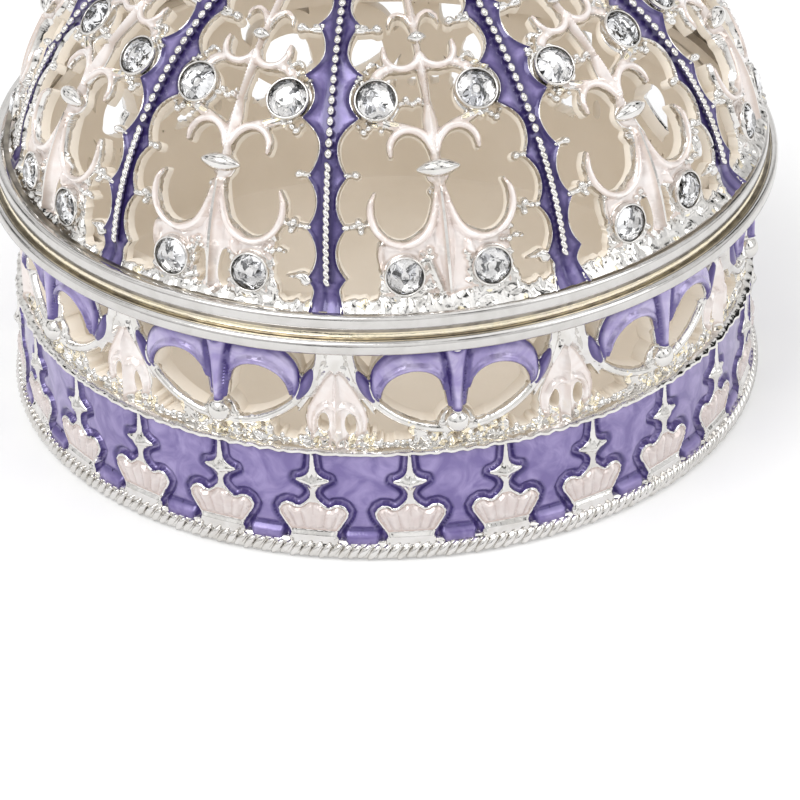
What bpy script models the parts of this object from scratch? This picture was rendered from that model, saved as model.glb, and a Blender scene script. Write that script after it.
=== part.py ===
"""Crown trinket box: a round box with an openwork crown for a lid.

Two castings and forty glass stones. The base has a flat floor, a frieze of raised motifs, an
openwork gallery of hanging festoons and a plain rim. The lid is an openwork dome of ten ribs and
ten fleur-de-lis panels, with a collar, an orb and a cross on top. Metres, +Z up, the origin at
the middle of the underside. Ornament is laid out flat, one bay at a time, then bent round.
"""

import math

import bmesh
import bpy
import numpy as np
from mathutils import Matrix, Vector
from mathutils.geometry import delaunay_2d_cdt

# Driving sizes
SEAM_Z = 0.0201
BAYS = 10
MOTIFS = 25
FACETS = 40
WELD = 1e-6
CLEARANCE = 0.0003

# Angles, measured from the front (-Y) towards +X; a rib or a spandrel stands half a bay before each bay
LID_START = math.radians(10.0)
BASE_START = math.radians(11.4)
MOTIF_START = math.radians(4.1)
HALF_BAY = math.pi / BAYS

# Base
FLOOR_THICKNESS = 0.0015
RAIL_Z = SEAM_Z - 0.0110
RAIL_RADIUS = 0.0290
RAIL_EDGE = 0.0004
RING_Z = SEAM_Z - 0.0014
RIM_RADIUS = 0.03075
RIM_TOP_RADIUS = 0.0300
RIM_FOOT_RADIUS = 0.0303
GALLERY_RADIUS = 0.0279
GALLERY_THICKNESS = 0.0013
FRIEZE_RADIUS = 0.0285
FRIEZE_FOOT = 0.0018
FRIEZE_HEAD = RAIL_Z - 0.0006
FOOT_RADIUS = 0.0292
FOOT_SWELL = 0.0004
FOOT_SWELL_Z = 0.0009
LIP_RADIUS = 0.0269
LIP_WALL = 0.0009
LIP_HEIGHT = 0.0010
BALL_Z = 0.0107
BALL_RELIEF = 0.0011
MOTIF_RELIEF = 0.0005
MOTIF_NECK_Z = 0.0051
MOTIF_SLOPE = 1.08
MOTIF_FLANK = 0.00012
FLEUR_RELIEF = 0.0006

# Lid
DOME_RADIUS = 0.0283
DOME_HEIGHT = 0.0223
DOME_THICKNESS = 0.0012
DOME_FOOT = 0.0013
DOME_DRAW = 0.981
LID_BORE = 0.0273
LID_RIM = ((0.0292, 0.0013), (0.02985, 0.0009))
LID_RIM_RADIUS = 0.0300
COLLAR_RADIUS = 0.0079
COLLAR_DROP = 0.0002
COLLAR_NECK = 0.0030
COLLAR_RISE = 0.0006
ORB_LIFT = 0.0031
ORB_RADIUS = 0.0023
ORB_SINK = 0.2
CROSS_REACH = 0.0024
CROSS_DEPTH = 0.0011
CROSS_ROOT = 0.20
CROSS_FLARE = 0.42
RIB_NARROW = 0.00085
RIB_CUSP = 0.0015
RIB_CREST = 0.0009
LOBE_PITCH = 0.0037
LOBES = 8

# Stones: across, distance from the panel's middle line, arc up the dome
STONE_SIDES = 6
STONE_HEIGHT = 0.0008
STONE_LIFT = 0.0004
CUP_LIFT = 0.0001
CUP_WALL = 0.0003
STONE_TAPER = 0.6
STONES = {
    "low": {"radius": 0.00130, "offset": 0.00315, "arc": 0.0038},
    "mid": {"radius": 0.00140, "offset": 0.00363, "arc": 0.0166},
}

SILVER = (0.86, 0.85, 0.82, 1.0)
GLASS = (0.95, 0.96, 0.98, 1.0)


def clear_scene():
    """Remove every object of the start-up scene."""
    for thing in list(bpy.data.objects):
        bpy.data.objects.remove(thing, do_unlink=True)


def new_collection(name):
    """Make a collection under the scene."""
    group = bpy.data.collections.new(name)
    bpy.context.scene.collection.children.link(group)
    return group


def new_material(name, colour, roughness, metallic):
    """Make a Principled material."""
    material = bpy.data.materials.new(name)
    material.use_nodes = True
    shader = material.node_tree.nodes["Principled BSDF"]
    shader.inputs["Base Color"].default_value = colour
    shader.inputs["Roughness"].default_value = roughness
    shader.inputs["Metallic"].default_value = metallic
    return material


def dome_table(count=2000):
    """Radius, height and arc of the dome's outer line, from its foot to its apex.

    The arc is the flat layout's, which is drawn in a little when it is bent on to the dome.
    """
    turn = np.linspace(0.0, math.pi / 2, count)
    radius = DOME_RADIUS * np.cos(turn)
    height = DOME_HEIGHT * np.sin(turn)
    steps = np.hypot(np.diff(radius), np.diff(height))
    return radius, height, np.concatenate([[0.0], np.cumsum(steps)]) / DOME_DRAW


DOME_TABLE = dome_table()


def dome_radius(arc):
    """Radius of the dome's outer line at an arc length up from its foot."""
    radius, _, arcs = DOME_TABLE
    return float(np.interp(arc, arcs, radius))


def dome_point(across, arc, lift):
    """Bend a flat panel point on to the dome: across and up the panel, and out from its face."""
    radius, height, arcs = DOME_TABLE
    r = float(np.interp(arc, arcs, radius))
    z = float(np.interp(arc, arcs, height))
    normal = Vector((r / DOME_RADIUS**2, z / DOME_HEIGHT**2)).normalized()
    angle = across / r
    r += lift * normal.x
    return Vector((r * math.sin(angle), -r * math.cos(angle), SEAM_Z + z + lift * normal.y))


def barrel_point(across, height, lift, radius):
    """Bend a flat point on to an upright cylinder."""
    angle = across / radius
    r = radius + lift
    return Vector((r * math.sin(angle), -r * math.cos(angle), height))


def arc_points(centre, radius, start, end, count):
    """Points along an arc, with its angles in degrees."""
    turns = np.radians(np.linspace(start, end, count))
    return [(centre[0] + radius * math.cos(t), centre[1] + radius * math.sin(t)) for t in turns]


def anticlockwise(points):
    """The same outline, running anticlockwise."""
    ahead = points[1:] + points[:1]
    area = sum(a[0] * b[1] - b[0] * a[1] for a, b in zip(points, ahead))
    return points if area > 0 else points[::-1]


def mirrored(points):
    """The same outline on the other side of the middle line."""
    return [(-x, y) for x, y in reversed(points)]


def bay_sheet(outline, holes, creases, face, back):
    """Pierce and fold one bay of a wall: its face with raised creases, its back and its edges.

    The outline comes first, then the holes, then creases that only the face has. Each crease
    point is across, up and lift. face and back turn across, up and lift into a place.
    """
    outlines = [anticlockwise(loop) for loop in (outline, *holes)]
    flat = [point for loop in outlines for point in loop]
    raised = [point for crease in creases for point in crease]
    loops = []
    for loop in outlines:
        first = loops[-1][-1] + 1 if loops else 0
        loops.append(list(range(first, first + len(loop))))
    ties = []
    first = len(flat)
    for crease in creases:
        if len(crease) > 1:
            ties += [(first + i, first + (i + 1) % len(crease)) for i in range(len(crease))]
        first += len(crease)
    shape = bmesh.new()
    folded = [face(x, y, None) for x, y in flat] + [face(*point) for point in raised]
    skin(shape, [*flat, *[point[:2] for point in raised]], ties, loops, folded)
    skin(shape, flat, [], loops, [back(x, y) for x, y in flat])
    for loop in loops[1:]:
        for i, j in zip(loop, loop[1:] + loop[:1]):
            corners = [folded[i], folded[j], back(*flat[j]), back(*flat[i])]
            shape.faces.new([shape.verts.new(corner) for corner in corners])
    return shape


def skin(shape, points, ties, loops, places):
    """Fill an outline with triangles, leave its holes out, and put the corners in their places."""
    flat = [Vector(point) for point in points]
    made = delaunay_2d_cdt(flat, ties, loops, 0, 1e-7)
    corners = [shape.verts.new(places[sources[0]]) for sources in made[3]]
    for triangle, inside in zip(made[2], made[5]):
        if list(inside) == [0]:
            shape.faces.new([corners[i] for i in triangle])


def ring_of(shape, count, start):
    """Copy a bay round the axis, and weld the bays where they meet."""
    unit = bpy.data.meshes.new("bay")
    shape.to_mesh(unit)
    shape.free()
    ring = bmesh.new()
    for index in range(count):
        copy = unit.copy()
        copy.transform(Matrix.Rotation(start + 2 * math.pi * index / count, 4, "Z"))
        ring.from_mesh(copy)
        bpy.data.meshes.remove(copy)
    bpy.data.meshes.remove(unit)
    bmesh.ops.remove_doubles(ring, verts=ring.verts, dist=WELD)
    return ring


def circle(shape, radius, height, count, start):
    """A loop of edges round the axis."""
    turns = [start + 2 * math.pi * i / count for i in range(count)]
    corners = [shape.verts.new((radius * math.sin(t), -radius * math.cos(t), height)) for t in turns]
    return [shape.edges.new((a, b)) for a, b in zip(corners, corners[1:] + corners[:1])]


def open_loop(shape, radius, height):
    """The open edge of a wall at a radius and height."""
    def near(corner):
        return (abs(math.hypot(corner.co.x, corner.co.y) - radius) < 10 * WELD
                and abs(corner.co.z - height) < 10 * WELD)
    return [edge for edge in shape.edges if edge.is_boundary and all(near(v) for v in edge.verts)]


def corners_round(loop):
    """The corners of a loop, in order round the axis."""
    return sorted({v for edge in loop for v in edge.verts}, key=lambda v: math.atan2(v.co.x, -v.co.y))


def band(shape, first, second):
    """Join two loops round the axis with triangles, whether or not their corners line up."""
    rings = [corners_round(first), corners_round(second)]

    def corner(ring, index):
        return rings[ring][index % len(rings[ring])]

    def turn(ring, index):
        place = corner(ring, index).co
        return math.atan2(place.x, -place.y) + 2 * math.pi * (index // len(rings[ring]))

    at = [0, 0]
    while at[0] < len(rings[0]) or at[1] < len(rings[1]):
        step = 0 if at[1] >= len(rings[1]) else 1
        if at[0] < len(rings[0]) and turn(0, at[0] + 1) <= turn(1, at[1] + 1) + WELD:
            step = 0
        shape.faces.new([corner(0, at[0]), corner(1, at[1]), corner(step, at[step] + 1)])
        at[step] += 1


def turned_skin(shape, first, profile, last, start, count=FACETS):
    """Carry a wall on from one open loop through circles of a profile to another loop, or a disc."""
    loop = first
    for radius, height in profile:
        following = circle(shape, radius, height, count, start)
        band(shape, loop, following)
        loop = following
    if last is None:
        bmesh.ops.edgeloop_fill(shape, edges=loop)
    else:
        band(shape, loop, last)


def finished(shape, name, group, material):
    """Make an object of a closed shape."""
    bmesh.ops.recalc_face_normals(shape, faces=shape.faces)
    bmesh.ops.triangulate(shape, faces=shape.faces)
    if shape.calc_volume(signed=True) < 0:
        bmesh.ops.reverse_faces(shape, faces=shape.faces)
    mesh = bpy.data.meshes.new(name)
    shape.to_mesh(mesh)
    shape.free()
    mesh.materials.append(material)
    thing = bpy.data.objects.new(name, mesh)
    group.objects.link(thing)
    return thing


# ---------------------------------------------------------------- base


def gallery_openings():
    """Right-hand openings of one gallery bay: the eye, the shoulder corner and the low corner."""
    eye = [(0.0009, 0.0151), *arc_points((0.0031, 0.0134), 0.0022, 110, -40, 4), (0.0010, 0.0119)]
    shoulder = [(0.0055, RING_Z - 0.0003), (0.0081, RING_Z - 0.0003), (0.0069, 0.0156)]
    low = [(0.0034, RAIL_Z + 0.0008), (0.0072, 0.0119), (0.0072, RAIL_Z + 0.0008)]
    return [eye, shoulder, low]


def gallery_bay():
    """One bay of the openwork wall, with its raised fleur-de-lis head down over a ball."""
    half = HALF_BAY * GALLERY_RADIUS
    across = [float(x) for x in np.linspace(-half, half, FACETS // BAYS + 1)]
    outline = [(x, RAIL_Z) for x in across] + [(x, RING_Z) for x in across[::-1]]
    holes = gallery_openings()
    holes += [mirrored(hole) for hole in holes]
    fleur = [(0.0005, 0.0118), (0.0007, 0.0155), (0.0035, 0.0161), (0.0049, 0.0177), (0.0007, 0.0182)]
    crest = [(x, y, FLEUR_RELIEF) for x, y in fleur + mirrored(fleur)]
    tips = [[(side * 0.0058, 0.0143, FLEUR_RELIEF)] for side in (-1, 1)]
    ball = [[(0.0, BALL_Z, BALL_RELIEF)]]

    def face(x, y, lift):
        return barrel_point(x, y, lift or 0.0, GALLERY_RADIUS)

    def back(x, y):
        return barrel_point(x, y, -GALLERY_THICKNESS, GALLERY_RADIUS)

    return bay_sheet(outline, holes, [crest, *tips, *ball], face, back)


def frieze_bay():
    """The face of the frieze under one motif: a star on a neck over a fan."""
    half = math.pi / MOTIFS * FRIEZE_RADIUS
    outline = [(x, FRIEZE_FOOT) for x in (-half, 0.0, half)] + [(x, FRIEZE_HEAD) for x in (half, 0.0, -half)]
    motif = [(0.0017, 0.0024), (0.0025, 0.0044), (0.0004, 0.0051), (0.0011, 0.0063), (0.0001, 0.0080)]
    crest = [(x, y, MOTIF_RELIEF) for x, y in motif + mirrored(motif)]
    ground = [(x * MOTIF_SLOPE + MOTIF_FLANK, MOTIF_NECK_Z + (y - MOTIF_NECK_Z) * MOTIF_SLOPE, 0.0)
              for x, y in motif]
    ground += [(-x, y, lift) for x, y, lift in reversed(ground)]
    shape = bmesh.new()
    flat = [point[:2] for point in (*outline, *crest, *ground)]
    ties = []
    for first in (len(outline), len(outline) + len(crest)):
        ties += [(first + i, first + (i + 1) % len(crest)) for i in range(len(crest))]
    lifts = [0.0] * len(outline) + [point[2] for point in (*crest, *ground)]
    places = [barrel_point(x, y, lift, FRIEZE_RADIUS) for (x, y), lift in zip(flat, lifts)]
    skin(shape, flat, ties, [list(range(len(outline)))], places)
    return shape


def build_base(group, silver):
    """The whole lower casting."""
    shape = ring_of(gallery_bay(), BAYS, BASE_START)
    motifs = ring_of(frieze_bay(), MOTIFS, MOTIF_START)
    frieze = bpy.data.meshes.new("frieze")
    motifs.to_mesh(frieze)
    motifs.free()
    shape.from_mesh(frieze)
    bpy.data.meshes.remove(frieze)
    inner = GALLERY_RADIUS - GALLERY_THICKNESS
    top = SEAM_Z - CLEARANCE / 2
    lip = SEAM_Z + LIP_HEIGHT
    start = BASE_START - HALF_BAY
    rim = [(RIM_FOOT_RADIUS, RING_Z), (RIM_RADIUS, (RING_Z + SEAM_Z) / 2), (RIM_TOP_RADIUS, top)]
    rim += [(LIP_RADIUS, top), (LIP_RADIUS, lip), (LIP_RADIUS - LIP_WALL, lip), (LIP_RADIUS - LIP_WALL, RING_Z)]
    turned_skin(shape, open_loop(shape, GALLERY_RADIUS, RING_Z), rim, open_loop(shape, inner, RING_Z), start)
    rail = [(RAIL_RADIUS, RAIL_Z), (RAIL_RADIUS, RAIL_Z - RAIL_EDGE)]
    turned_skin(shape, open_loop(shape, GALLERY_RADIUS, RAIL_Z), rail,
                open_loop(shape, FRIEZE_RADIUS, FRIEZE_HEAD), start)
    foot = [(FOOT_RADIUS + FOOT_SWELL, FOOT_SWELL_Z), (FOOT_RADIUS, 0.0)]
    turned_skin(shape, open_loop(shape, FRIEZE_RADIUS, FRIEZE_FOOT), foot, None, MOTIF_START, 2 * MOTIFS)
    turned_skin(shape, open_loop(shape, inner, RAIL_Z), [(inner, FLOOR_THICKNESS)], None, start)
    return finished(shape, "base", group, silver)


# ---------------------------------------------------------------- lid


def half_panel(arc):
    """Half a panel's width, from its middle line to the rib's, at an arc length up the dome."""
    return HALF_BAY * dome_radius(arc)


def rib_side(arc, width):
    """A point on a rib's edge, at a width from the rib's middle line."""
    return (half_panel(arc) - width, arc)


def scallops(first, last):
    """A rib's edge from one cusp to a later one, cut back between them."""
    points = []
    for step in range(first, last):
        cusp = LOBE_PITCH * step
        points += [rib_side(cusp, RIB_CUSP), rib_side(cusp + LOBE_PITCH / 2, RIB_NARROW)]
    return [*points, rib_side(LOBE_PITCH * last, RIB_CUSP)]


def panel_openings():
    """Right-hand openings of one panel, from the rim to the collar."""
    low = [rib_side(0.0020, 0.0010), *scallops(1, 2)[:-1], rib_side(0.0070, 0.0015)]
    low += [(0.0051, 0.0069), (0.0050, 0.0020)]
    hook = arc_points((0.0028, 0.0087), 0.0021, 200, 350, 4)
    wide = [rib_side(0.0078, 0.0014), *scallops(2, 4)[1:]]
    wide += [(0.0034, 0.0139), (0.0033, 0.0121), (0.0019, 0.0136), (0.0006, 0.0122)]
    wide += [(0.0015, 0.0112), (0.0006, 0.0104), *hook, (0.0046, 0.0101), (0.0055, 0.0082)]
    high = [*scallops(5, 7), rib_side(0.0290, 0.0009), (0.0004, 0.0290)]
    high += [(0.0004, 0.0240), (0.0019, 0.0226), (0.0005, 0.0220)]
    high += [(0.0010, 0.0194), (0.0020, 0.0194), (0.0024, 0.0208), (0.0029, 0.0194)]
    return [low, wide, high]


def panel_creases():
    """Raised points of one panel: the lower leaf's ridge, the crosspiece and the stones' seats."""
    creases = [[(0.0, 0.0022, 0.0002)], [(0.0, 0.0066, 0.0006)], [(0.0, 0.0112, 0.0007)]]
    creases += [[(0.0, 0.0146, 0.0005)], [(0.0, 0.0196, 0.0005)]]
    stone = STONES["mid"]
    for side in (-1, 1):
        middle = (side * stone["offset"], stone["arc"])
        seat = arc_points(middle, stone["radius"] + CUP_WALL, 30, 330, STONE_SIDES)
        creases.append([(x, y, CUP_LIFT) for x, y in seat])
    return creases


def openwork_bay():
    """One panel between two rib crests."""
    levels = [LOBE_PITCH * step for step in range(1, LOBES + 1)]
    side = [(half_panel(arc), arc) for arc in (DOME_FOOT, *levels)]
    parts = FACETS // BAYS + 1
    foot = [(float(x), DOME_FOOT) for x in np.linspace(-side[0][0], side[0][0], parts)]
    head = [(float(x), levels[-1]) for x in np.linspace(side[-1][0], -side[-1][0], parts)]
    outline = [*foot, *side[1:-1], *head, *[(-x, y) for x, y in reversed(side[1:-1])]]
    holes = panel_openings()
    holes += [mirrored(hole) for hole in holes]

    def face(x, y, lift):
        from_rib = half_panel(y) - abs(x)
        if lift is None:
            crest = from_rib < RIB_NARROW / 2 and DOME_FOOT < y < levels[-1]
            lift = RIB_CREST if crest else 0.0
        return dome_point(x, y, lift)

    def back(x, y):
        return dome_point(x, y, -DOME_THICKNESS)

    return bay_sheet(outline, holes, panel_creases(), face, back)


def build_cross(group, foot):
    """Cross with flared arms, a shape that is joined to the orb and then hidden."""
    root, flare = CROSS_REACH * CROSS_ROOT, CROSS_REACH * CROSS_FLARE
    arm = [(root, root), (flare, CROSS_REACH), (-flare, CROSS_REACH)]
    outline = [Matrix.Rotation(-quarter * math.pi / 2, 2) @ Vector(p) for quarter in range(4) for p in arm]
    curve = bpy.data.curves.new("cross", "CURVE")
    curve.dimensions = "2D"
    curve.fill_mode = "BOTH"
    curve.extrude = CROSS_DEPTH / 2
    spline = curve.splines.new("POLY")
    spline.points.add(len(outline) - 1)
    for point, place in zip(spline.points, outline):
        point.co = (*place, 0.0, 1.0)
    spline.use_cyclic_u = True
    guide = bpy.data.objects.new("cross_outline", curve)
    group.objects.link(guide)
    bpy.context.view_layer.update()
    evaluated = guide.evaluated_get(bpy.context.evaluated_depsgraph_get())
    shape = bmesh.new()
    shape.from_mesh(bpy.data.meshes.new_from_object(evaluated))
    bpy.data.objects.remove(guide)
    bmesh.ops.remove_doubles(shape, verts=shape.verts, dist=WELD)
    shape.transform(Matrix.Translation((0.0, 0.0, foot + CROSS_REACH)) @ Matrix.Rotation(math.pi / 2, 4, "X"))
    thing = finished(shape, "cross", group, None)
    thing.hide_render = True
    thing.display_type = "WIRE"
    return thing


def build_lid(group, cutters, silver):
    """The whole upper casting."""
    shape = ring_of(openwork_bay(), BAYS, LID_START)
    start = LID_START - HALF_BAY
    ends = []
    for arc in (DOME_FOOT, LOBE_PITCH * LOBES):
        for lift in (0.0, -DOME_THICKNESS):
            place = dome_point(0.0, arc, lift)
            ends.append(open_loop(shape, -place.y, place.z))
    foot = SEAM_Z + CLEARANCE / 2
    ring = [(radius, SEAM_Z + height) for radius, height in LID_RIM]
    ring += [(LID_RIM_RADIUS, foot), (LID_BORE, foot)]
    turned_skin(shape, ends[0], ring, ends[1], start)
    apex = SEAM_Z + DOME_HEIGHT
    orb = arc_points((0.0, apex + ORB_LIFT), ORB_RADIUS, -60, 60, 4)
    crown = [(COLLAR_RADIUS, apex - COLLAR_DROP), (COLLAR_NECK, apex + COLLAR_RISE), *orb]
    turned_skin(shape, ends[2], crown, None, start)
    turned_skin(shape, ends[3], [(COLLAR_NECK, apex - DOME_THICKNESS)], None, start)
    lid = finished(shape, "lid", group, silver)
    joint = lid.modifiers.new("Cross", "BOOLEAN")
    joint.operation = "UNION"
    joint.solver = "EXACT"
    joint.object = build_cross(cutters, apex + ORB_LIFT + ORB_RADIUS * (1.0 - ORB_SINK))
    return lid


def upright(across, arc, lift):
    """Place and turn for a thing that stands on the dome's face."""
    base = dome_point(across, arc, lift)
    outward = (dome_point(across, arc, lift + 0.001) - base).normalized()
    return Matrix.Translation(base) @ outward.to_track_quat("Z", "Y").to_matrix().to_4x4()


def build_stones(group, glass):
    """Forty round stones, each in its own place over its seat."""
    for row, stone in STONES.items():
        cut = bmesh.new()
        bmesh.ops.create_cone(cut, cap_ends=True, segments=STONE_SIDES, radius1=stone["radius"],
                              radius2=stone["radius"] * STONE_TAPER, depth=STONE_HEIGHT)
        mesh = bpy.data.meshes.new(f"stone_{row}")
        cut.to_mesh(mesh)
        cut.free()
        mesh.materials.append(glass)
        for bay in range(BAYS):
            turn = Matrix.Rotation(LID_START + 2 * HALF_BAY * bay, 4, "Z")
            for hand, side in (("left", -1), ("right", 1)):
                lift = STONE_LIFT + STONE_HEIGHT / 2
                thing = bpy.data.objects.new(f"stone_{row}_{hand}_{bay + 1:02d}", mesh)
                thing.matrix_world = turn @ upright(side * stone["offset"], stone["arc"], lift)
                group.objects.link(thing)


def main():
    """Build the box."""
    clear_scene()
    group = new_collection("crown_trinket_box")
    silver = new_material("silver_plate", SILVER, 0.15, 1.0)
    glass = new_material("clear_glass", GLASS, 0.02, 0.0)
    build_base(group, silver)
    build_lid(group, new_collection("shapes_joined_in"), silver)
    build_stones(group, glass)


main()
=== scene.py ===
"""Looks of the crown trinket box: two openwork castings, enamelled and set with cut stones.

Ornament is laid out flat in millimetres, one bay at a time, as a field of raised strokes and
patches. Each field becomes a sheet of metal with enamel borders in its mesh, and is bent round
the box and repeated. Turned rings, beads, stones and the finial are modelled piece by piece.
"""

import logging
import math
from dataclasses import dataclass, field
from enum import Enum
from typing import Callable, Iterable, Sequence

import bmesh
import bpy
import numpy as np
from mathutils import Matrix, Vector
from mathutils.geometry import delaunay_2d_cdt


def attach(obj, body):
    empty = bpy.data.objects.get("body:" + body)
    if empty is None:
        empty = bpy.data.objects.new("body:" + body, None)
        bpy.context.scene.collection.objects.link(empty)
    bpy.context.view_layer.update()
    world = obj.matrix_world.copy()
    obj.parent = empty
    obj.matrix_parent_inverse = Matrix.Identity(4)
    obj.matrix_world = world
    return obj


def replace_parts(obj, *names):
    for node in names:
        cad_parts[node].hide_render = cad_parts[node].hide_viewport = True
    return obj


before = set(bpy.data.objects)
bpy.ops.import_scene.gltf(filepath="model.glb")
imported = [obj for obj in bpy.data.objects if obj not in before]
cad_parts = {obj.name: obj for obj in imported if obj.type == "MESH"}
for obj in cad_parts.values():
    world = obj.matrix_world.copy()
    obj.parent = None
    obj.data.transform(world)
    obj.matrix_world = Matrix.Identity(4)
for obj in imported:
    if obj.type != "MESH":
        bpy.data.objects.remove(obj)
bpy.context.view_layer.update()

log = logging.getLogger("crown_box")
logging.basicConfig(level=logging.INFO, format="%(name)s: %(message)s")

Point = tuple[float, float]
Colour = tuple[float, float, float]
Place = tuple[float, float, float]
Socket = bpy.types.NodeSocket
Material = bpy.types.Material
Mesh = bpy.types.Mesh
Edge = tuple[int, int]
Face = tuple[int, int, int]
Crossing = tuple[int, int, int]
Rows = Sequence[Sequence[float]]
Bend = Callable[[np.ndarray], np.ndarray]

MM = 0.001  # metres
BAYS = 10
MOTIFS = 25
LID_START = math.radians(10.0)  # angles of the first panel, rib, festoon and motif
RIB_START = LID_START - math.pi / BAYS
BASE_START = math.radians(11.4)
MOTIF_START = math.radians(4.1)
SEAM = 20.1  # height of the dome's foot
FAR = 9.0  # a distance beyond any in a field
FILLET = 0.22  # width of the fillet where shapes meet
BANK = 3.0  # how steeply a shape's height falls off outside its outline
BESIDE = 0.8  # how far beyond its outline a stroke still joins others
SLIM = 0.25  # half width below which a stroke is lower than its crest
ON_EDGE = 1e-4  # how near a field's side counts as on it
CLOSE = 1e-5  # corners of a sheet that are nearer than this are one
WELD = 1e7  # parts of a metre that corners of neighbouring copies are matched to
TINT_INSET = 0.04  # how far a finish stays inside the metal's outline
ROW_STEP = 0.87  # distance between rows of corners, in their spacing
BACK_STEP = 1.4  # distance between corners inside a sheet's back
CURVED = 1.1  # how much the face curves, in 1/mm, where it gets the closer corners


class Finish(Enum):
    """Finishes of the castings, by the material slot that holds them."""

    SILVER = 0
    PURPLE = 1
    PINK = 2
    GOLD = 3
    SATIN = 4
    LILAC = 5


WHOLE = (slice(None), slice(None))
WASHES = (Finish.PURPLE, Finish.PINK, Finish.GOLD, Finish.LILAC)
ENAMELS = (Finish.PURPLE, Finish.PINK, Finish.LILAC)


# --- flat ornament


def soft_max(first: np.ndarray, second: np.ndarray, blend: float) -> np.ndarray:
    """The larger of two fields, rounded where they cross.

    Args:
        first: one field.
        second: the other field.
        blend: width of the rounding.

    Returns:
        The joined field.
    """
    near = np.maximum(blend - np.abs(first - second), 0.0)
    return np.maximum(first, second) + near * near / (4.0 * blend)


def ease(value: np.ndarray) -> np.ndarray:
    """A smooth step from 0 to 1 as the value goes from 0 to 1."""
    t = np.clip(value, 0.0, 1.0)
    return t * t * (3.0 - 2.0 * t)


def flowing(points: Rows, parts: int = 6) -> np.ndarray:
    """Points on a smooth curve through the given ones.

    Args:
        points: places, each with its widths or other values behind it.
        parts: steps between two given points.

    Returns:
        The points of the curve, one row each.
    """
    given = np.array(points, float)
    if len(given) < 3:
        return given
    padded = np.vstack([2 * given[0] - given[1], given, 2 * given[-1] - given[-2]])
    rows = []
    for a, b, c, d in zip(padded, padded[1:], padded[2:], padded[3:]):
        for t in np.arange(parts) / parts:
            rows.append(0.5 * (2 * b + (c - a) * t + (2 * a - 5 * b + 4 * c - d) * t**2
                               + (3 * b - a - 3 * c + d) * t**3))
    return np.array([*rows, given[-1]])


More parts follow.
